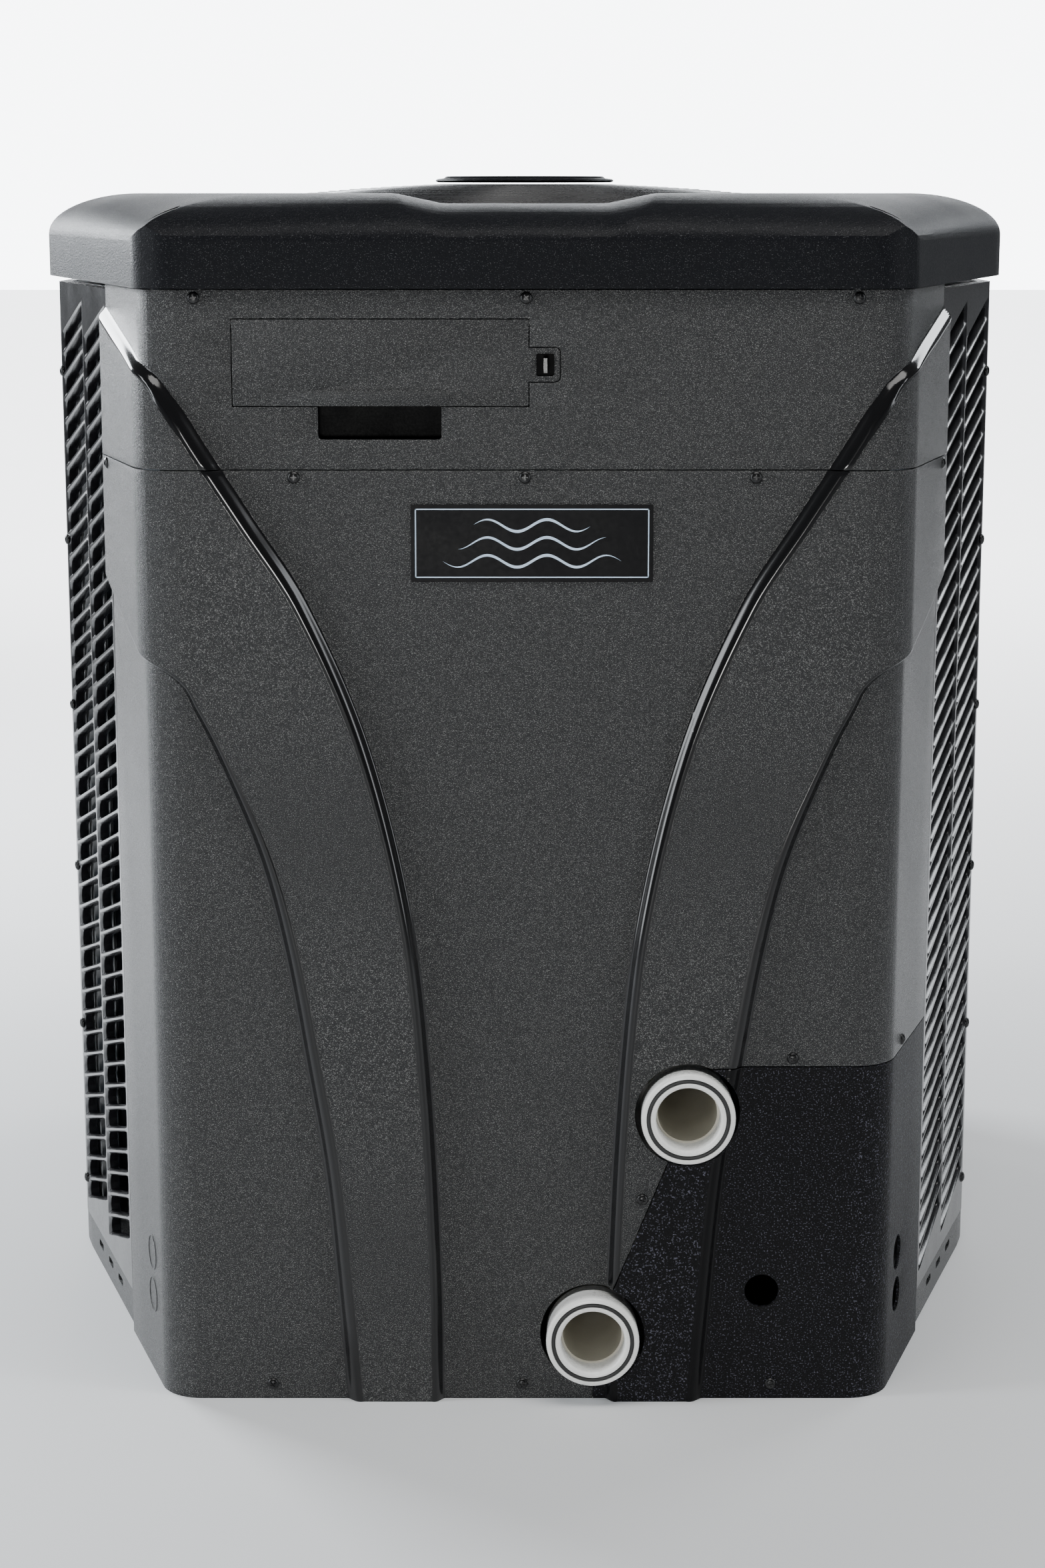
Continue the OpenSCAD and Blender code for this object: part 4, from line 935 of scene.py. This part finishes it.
def grilleCell(cellWide):
    # one slot in its own parallelogram of bar, open at the edges where it meets the next
    g = grilleValues
    halfW, halfH, endR = g["slotW"] / 2, g["slotH"] / 2, g["endR"]
    cw, ch = cellWide / 2, g["pitch"] / 2
    middle = halfW - endR
    slot, rim = [], []
    for side in (1, -1):
        for t, edge in ((-90, 0), (-45, -1), (0, 0), (45, 1), (90, 0)):
            a = math.radians(t)
            slot.append((side * (middle + endR * math.cos(a)), side * halfH * math.sin(a)))
            if abs(t) == 90:
                rim.append((side * middle, side * math.copysign(ch, t)))
            else:
                rim.append((side * cw, side * ch * edge))
        slot.append((0.0, side * halfH))
        rim.append((0.0, side * ch))
    levels = [(1.0, 0.0), (0.62, 0.0), (0.0, 2.2 * mm), (0.0, g["thick"] - 1.5 * mm), (1.0, g["thick"])]
    bm = bmesh.new()
    rings = []
    for share, depth in levels:
        spots = []
        for s, b in zip(slot, rim):
            x = s[0] + (b[0] - s[0]) * share
            z = s[1] + (b[1] - s[1]) * share
            spots.append((x, depth, z + x * math.tan(g["slope"])))
        rings.append(addRing(bm, spots))
    bridgeRings(bm, rings)
    turnOut(bm)
    toFront = sum(f.normal.y for f in bm.faces if f.calc_center_median().y < 0.1 * mm)
    if toFront > 0:
        bmesh.ops.reverse_faces(bm, faces=bm.faces)
    return fromBmesh("cell", bm)


def grille(name, node, a, b, columns, s0, s1):
    g = grilleValues
    used = s1 - s0
    rib = (used - columns * g["slotW"]) / (columns + 1)
    cellWide = g["slotW"] + rib
    rise = g["slotW"] * math.tan(g["slope"])
    tall = g["high"] - g["low"]
    rows = int((tall - 2 * g["margin"] - rise - g["slotH"]) / g["pitch"]) + 1
    slotsTall = (rows - 1) * g["pitch"] + rise + g["slotH"]
    firstZ = (g["low"] + g["high"] - slotsTall) / 2
    obj = grilleCell(cellWide)
    obj.name = name
    for count, step in ((rows, (0, 0, g["pitch"])), (columns, (cellWide, 0, 0))):
        repeat = obj.modifiers.new("repeat", "ARRAY")
        repeat.count = count
        repeat.use_relative_offset = False
        repeat.use_constant_offset = True
        repeat.constant_offset_displace = step
        repeat.use_merge_vertices = True
        repeat.merge_threshold = 0.00001
    applyModifiers(obj)
    bm = bmesh.new()
    bm.from_mesh(obj.data)
    start = s0 + rib + g["slotW"] / 2
    bmesh.ops.translate(bm, vec=(start, 0, firstZ + rise / 2 + g["slotH"] / 2), verts=bm.verts)
    # solid margins above and below the slots, and strips at both ends
    lean = math.tan(g["slope"])
    barHalf = (g["pitch"] - g["slotH"]) / 2
    for k in range(columns):
        x0 = s0 + rib / 2 + k * cellWide
        for top in (False, True):
            made = addBox(bm, (x0, 0, 0), (x0 + cellWide, g["thick"], 1))
            for v in made:
                edge = firstZ - barHalf + (v.co.x - x0 - rib / 2) * lean
                if top:
                    edge += rows * g["pitch"]
                    v.co.z = g["high"] if v.co.z > 0.5 else edge
                else:
                    v.co.z = edge if v.co.z > 0.5 else g["low"]
    for x0, x1 in ((s0, s0 + rib / 2), (s1 - rib / 2, s1)):
        addBox(bm, (x0, 0, g["low"]), (x1, g["thick"], g["high"]))
    a, b = Vector(a), Vector(b)
    u = (b - a).normalized()
    inward = Vector((-u.y, u.x))
    for v in bm.verts:
        spot = a + u * v.co.x + inward * v.co.y
        v.co = (spot.x, spot.y, v.co.z)
    bm.to_mesh(obj.data)
    bm.free()
    place(obj, materials["gloss_black"], stands=[node], sharpAngle=38)


def allGrilles():
    fh, hd, sh = cabinet["faceHalf"], cabinet["halfDepth"], cabinet["sideHalf"]
    right = [(fh, -hd), (creaseX, -sh), (creaseX, sh), (fh, hd)]
    left = [(-x, y) for x, y in right]
    flank = (hd - sh) / math.cos(cabinet["flankAngle"])
    corner = cabinet["cornerR"] * math.tan(turn / 2) + 1 * mm
    start = cabinet["wrapDepth"] / math.cos(cabinet["flankAngle"]) + 1 * mm
    m = 2 * mm
    grille("rightFrontGrille", "right_front_grille", right[0], right[1], 2, start, flank - m)
    grille("rightSideGrille", "right_side_grille", right[1], right[2], 1, m, 2 * sh - m)
    grille("rightRearGrille", "right_rear_grille", right[2], right[3], 3, m, flank - corner)
    grille("rearGrille", "rear_grille", right[3], left[3], 5, corner, 2 * fh - corner)
    grille("leftRearGrille", "left_rear_grille", left[3], left[2], 3, corner, flank - m)
    grille("leftSideGrille", "left_side_grille", left[2], left[1], 1, m, 2 * sh - m)
    grille("leftFrontGrille", "left_front_grille", left[1], left[0], 2, m, flank - start)


allGrilles()
print("grilles")


# ---------- water unions ----------
union = {
    "r": 41 * mm, "bore": 28 * mm, "out": 22 * mm,
    "grooveIn": 32.8 * mm, "grooveOut": 36.4 * mm, "groove": 3 * mm,
}


def unionPiece(name, node, x, z):
    r, bore, face = union["r"], union["bore"], union["out"]
    near, far, floor = union["grooveIn"], union["grooveOut"], face - union["groove"]
    bm = bmesh.new()
    profile = [
        (bore, -24 * mm), (bore, face - 3 * mm), (bore + 0.8 * mm, face - 1.2 * mm),
        (bore + 2.2 * mm, face - 0.2 * mm), (bore + 3 * mm, face), (near - 0.4 * mm, face),
        (near, face - 0.4 * mm), (near, floor), (far, floor), (far, face - 0.4 * mm),
        (far + 0.4 * mm, face), (r - 2.4 * mm, face - 0.2 * mm), (r - 1 * mm, face - 0.9 * mm),
        (r - 0.2 * mm, face - 2.2 * mm), (r, face - 4 * mm), (r - 0.3 * mm, face - 12 * mm),
        (r - 0.8 * mm, face - 13 * mm), (r - 0.8 * mm, -12 * mm), (r - 5 * mm, -14 * mm),
        (r - 5 * mm, -24 * mm),
    ]
    spinProfile(bm, profile, (x, frontY, z), (0, -1, 0), 96, closed=True)
    closeAndTurnOut(bm)
    obj = fromBmesh(name, bm)
    place(obj, materials["white_pvc"], stands=[node], sharpAngle=40)


def sealRing(name, node, x, z):
    bm = bmesh.new()
    r = (union["grooveIn"] + union["grooveOut"]) / 2
    thick = (union["grooveOut"] - union["grooveIn"]) / 2 - 0.15 * mm
    level = union["out"] - union["groove"] + thick
    spinProfile(bm, roundProfile(r, level, thick, 12), (x, frontY, z), (0, -1, 0), 96, closed=True)
    closeAndTurnOut(bm)
    obj = fromBmesh(name, bm)
    place(obj, materials["black_rubber"], stands=[node], sharpAngle=60)


for label, (x, z) in zip(("inlet", "outlet"), unionPlaces):
    unionPiece(label + "Union", label + "_union", x, z)
    sealRing(label + "SealRing", label + "_o_ring", x, z)
    # the pipes take a darker, beige PVC than the unions
    nodes[label + "_pipe"].data.materials[0] = materials["darker_beige_pvc"]
print("water unions")


# ---------- screws ----------
screw = {"r": 5.25 * mm, "h": 2.8 * mm, "shank": 2.1 * mm, "length": 12 * mm}


def screwMesh():
    r, h, shank, length = screw["r"], screw["h"], screw["shank"], screw["length"]
    bm = bmesh.new()
    profile = [(0, h), (r * 0.35, h * 0.96), (r * 0.7, h * 0.76), (r * 0.92, h * 0.42), (r, 0.1 * mm),
               (r, 0), (shank, 0), (shank, -length), (0, -length)]
    spinProfile(bm, profile, (0, 0, 0), (0, 0, 1), 20)
    closeAndTurnOut(bm)
    obj = fromBmesh("screw", bm)
    arms = ((0.55 * mm, 2.7 * mm), (2.7 * mm, 0.55 * mm))
    cut(obj, [boxCutter((-a, -b, h - 1.5 * mm), (a, b, h + 1 * mm)) for a, b in arms])
    mesh = obj.data
    bpy.data.objects.remove(obj)
    return mesh


def screwPlaces():
    top, low = panelTop - 6.4 * mm, seamZ - 6.2 * mm
    raised = 8 * mm
    spots = [(x * mm, top, 0) for x in (-273.5, 1, 276)]
    spots += [(x * mm, low, 0) for x in (-193, 0, 193)]
    spots += [(x * mm, 14 * mm, 0) for x in (-223.5, -2.4, 218)]
    spots += [(232.6 * mm, 314 * mm, 0), (102.8 * mm, 188 * mm, raised)]
    spots += [(side * depthToRun(139 * mm), low, front["bandTop"]) for side in (-1, 1)]
    spots += [(depthToRun(60 * mm), 314 * mm, 0)]
    rearmost = cabinet["halfDepth"] - cabinet["sideHalf"] - 5.5 * mm
    for side in (-1, 1):
        for k in range(6):
            spots.append((side * depthToRun(rearmost), (76 + 161.5 * k) * mm, 0))
    return spots


def allScrews():
    mesh = screwMesh()
    bm = bmesh.new()
    for run, z, out in screwPlaces():
        x, y = wrap(run, out)
        facing = 0.0 if abs(run) < flatHalf else math.copysign(turn, run)
        one = bmesh.new()
        one.from_mesh(mesh)
        spin = Matrix.Rotation(facing, 3, "Z") @ Matrix.Rotation(math.pi / 2, 3, "X")
        spin = spin @ Matrix.Rotation(0.7 * run / mm, 3, "Z")
        turnAll(one, spin)
        bmesh.ops.translate(one, vec=(x, y, z), verts=one.verts)
        absorb(bm, one)
    obj = fromBmesh("cabinetScrews", bm)
    place(obj, materials["black_steel"], stands=["cabinet_screws"], sharpAngle=40)


allScrews()
print("screws")


# ---------- control door ----------
def controlDoor():
    d = door
    space = d["gap"]
    bottom = d["z0"] + space
    y0, y1 = frontY, frontY + d["thick"]
    bm = bmesh.new()
    addRoundedBox(bm, (d["x0"] + space, y0, bottom), (d["x1"] - space, y1, d["z1"] - space), 1 * mm)
    obj = fromBmesh("controlDoor", bm)
    tab = boxCutter((d["x1"] - 12 * mm, y0, d["tabZ0"] + space),
                    (d["tabX"] - space, y1, d["tabZ1"] - space), 4.2 * mm)
    cut(obj, [tab], "UNION")
    thumb = boxCutter((d["thumbX0"], y0 - 2 * mm, bottom - 6 * mm),
                      (d["thumbX1"], y0 + 1 * mm, d["thumbZ"]), 5.5 * mm)
    cut(obj, [thumb], "UNION")
    below = boxCutter((-0.3, y0 - 0.01, d["z0"] - 0.02), (0.1, y1 + 0.01, bottom))
    halfW, halfH = d["windowW"] / 2, d["windowH"] / 2
    window = boxCutter((d["windowX"] - halfW, y0 - 0.01, d["windowZ"] - halfH),
                       (d["windowX"] + halfW, y1 + 0.01, d["windowZ"] + halfH), 1.5 * mm)
    cut(obj, [below, window])
    softenEdges(obj, 0.45 * mm, 50)
    barrel = bmesh.new()
    barrel.from_mesh(obj.data)
    hole, r, length = d["pinHole"], d["barrelR"], d["barrelLength"]
    tube = [(hole, 0), (r, 0), (r, length), (hole, length)]
    spinProfile(barrel, tube, (d["x0"] + 0.3 * mm, frontY + r, d["pinZ"]), (1, 0, 0), 24, closed=True)
    turnOut(barrel)
    barrel.to_mesh(obj.data)
    barrel.free()
    place(obj, materials["textured_black"], body="door", stands=["control_door"])


controlDoor()
print("control door")


# ---------- label ----------
def labelPlate():
    low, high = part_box("label_plate")
    bm = bmesh.new()
    addRoundedBox(bm, low, high, 1.2 * mm)
    obj = fromBmesh("labelPlate", bm)
    place(obj, materials["label_film"], stands=["label_plate"])
    ink = {"lift": 0.12 * mm, "waves": 3, "amp": 5 * mm, "width": 2.4 * mm, "gap": 15 * mm}
    centre = (low + high) / 2
    bm = bmesh.new()
    for k in range(ink["waves"]):
        wave = bmesh.new()
        bmesh.ops.create_grid(wave, x_segments=72, y_segments=1, size=1.0)
        span = (150 - 26 * k) * mm
        for v in wave.verts:
            along = v.co.x * span / 2
            taper = ink["width"] * 0.5 * (1 - abs(v.co.x) ** 3)
            lift = ink["amp"] * math.sin(along / (50 * mm) * 2 * math.pi)
            v.co = (centre.x + along, low.y, centre.z + (k - 1) * ink["gap"] + lift + v.co.y * taper)
        absorb(bm, wave)
    # thin frame line along the plate's edge
    edge = {"in": 3.5 * mm, "line": 0.9 * mm}
    left, right = low.x + edge["in"], high.x - edge["in"]
    under, top, line = low.z + edge["in"], high.z - edge["in"], edge["line"]
    for x0, x1, z0, z1 in ((left, right, under, under + line), (left, right, top - line, top),
                           (left, left + line, under, top), (right - line, right, under, top)):
        strip = bmesh.new()
        strip.faces.new([strip.verts.new(c) for c in
                         ((x0, low.y, z0), (x1, low.y, z0), (x1, low.y, z1), (x0, low.y, z1))])
        absorb(bm, strip)
    turnOut(bm)
    inkObj = fromBmesh("labelWaves", bm)
    addSkin(inkObj, 2 * ink["lift"], 0.0)
    place(inkObj, materials["label_ink"])


labelPlate()
print("label")


# ---------- floor and light ----------
light = {
    "glowFrom": -0.6, "glowTo": 6.0, "glow": 4.0, "spreadFrom": 0.18, "spreadTo": 0.42, "fanPoint": 2.9,
    "room": 0.11, "wall": 8.0, "wallFrom": 0.955, "wallTo": 0.975,
}


def studio():
    bm = bmesh.new()
    bmesh.ops.create_grid(bm, x_segments=1, y_segments=1, size=30.0)
    floor = fromBmesh("floor", bm)
    material, tree, shader, coords = startMaterial("floor")
    tone = noise(tree, coords, 2.0, 3.0)
    base = blendColour(tree, tone, (0.78, 0.79, 0.80), (0.82, 0.83, 0.84))
    tree.links.new(base, shader.inputs["Base Color"])
    tree.links.new(stretch(tree, tone, 0.3, 0.7, 0.6, 0.7), shader.inputs["Roughness"])
    parts = tree.nodes.new("ShaderNodeSeparateXYZ")
    tree.links.new(coords, parts.inputs["Vector"])
    glow = stretch(tree, parts.outputs["Y"], light["glowFrom"], light["glowTo"], 0.0, light["glow"], True)
    # the glow keeps to the stretch of floor straight behind the cabinet
    spread = calculate(tree, "DIVIDE", calculate(tree, "ABSOLUTE", parts.outputs["X"], 0.0),
                       calculate(tree, "ADD", parts.outputs["Y"], light["fanPoint"]))
    fade = stretch(tree, spread, light["spreadFrom"], light["spreadTo"], 1.0, 0.0, True)
    glow = calculate(tree, "MULTIPLY", glow, fade)
    shader.inputs["Emission Color"].default_value = (0.95, 0.97, 1.0, 1.0)
    tree.links.new(glow, shader.inputs["Emission Strength"])
    floor.data.materials.append(material)
    lights = {
        "leftBack": ((-2.4, 2.0, 1.75), (-0.4, -0.1, 0.9), (1.3, 1.3), 150.0, (0.92, 0.96, 1.0)),
        "left": ((-2.9, -0.95, 1.4), (0.0, -0.2, 0.7), (0.6, 2.6), 60.0, (0.92, 0.96, 1.0)),
        "rightBack": ((2.2, 1.8, 2.2), (0.4, -0.1, 1.0), (1.2, 0.8), 30.0, (0.92, 0.96, 1.0)),
        "right": ((2.8, -1.4, 1.3), (0.0, -0.2, 0.7), (0.5, 2.2), 26.0, (0.93, 0.96, 1.0)),
        "front": ((-0.25, -3.4, 0.55), (0.0, -0.4, 0.8), (0.6, 0.35), 26.0, (1.0, 1.0, 0.98)),
        "over": ((0.3, -1.0, 3.2), (0.0, -0.2, 1.0), (2.4, 1.2), 60.0, (1.0, 0.99, 0.97)),
    }
    for name, (spot, aim, size, power, colour) in lights.items():
        data = bpy.data.lights.new(name, "AREA")
        data.shape = "RECTANGLE"
        data.size, data.size_y = size
        data.energy = power
        data.color = colour
        lamp = bpy.data.objects.new(name, data)
        lamp.location = spot
        lamp.rotation_euler = (Vector(aim) - Vector(spot)).to_track_quat("-Z", "Y").to_euler()
        scene.collection.objects.link(lamp)
    # dim room, with a white wall straight behind
    world = bpy.data.worlds.new("studio")
    world.use_nodes = True
    tree = world.node_tree
    sky = tree.nodes["Background"]
    direction = tree.nodes.new("ShaderNodeTexCoord").outputs["Generated"]
    parts = tree.nodes.new("ShaderNodeSeparateXYZ")
    tree.links.new(direction, parts.inputs["Vector"])
    wall = stretch(tree, parts.outputs["Y"], light["wallFrom"], light["wallTo"],
                   light["room"], light["wall"], True)
    sky.inputs["Color"].default_value = (0.94, 0.97, 1.0, 1.0)
    tree.links.new(wall, sky.inputs["Strength"])
    scene.world = world


studio()
print("floor and light")
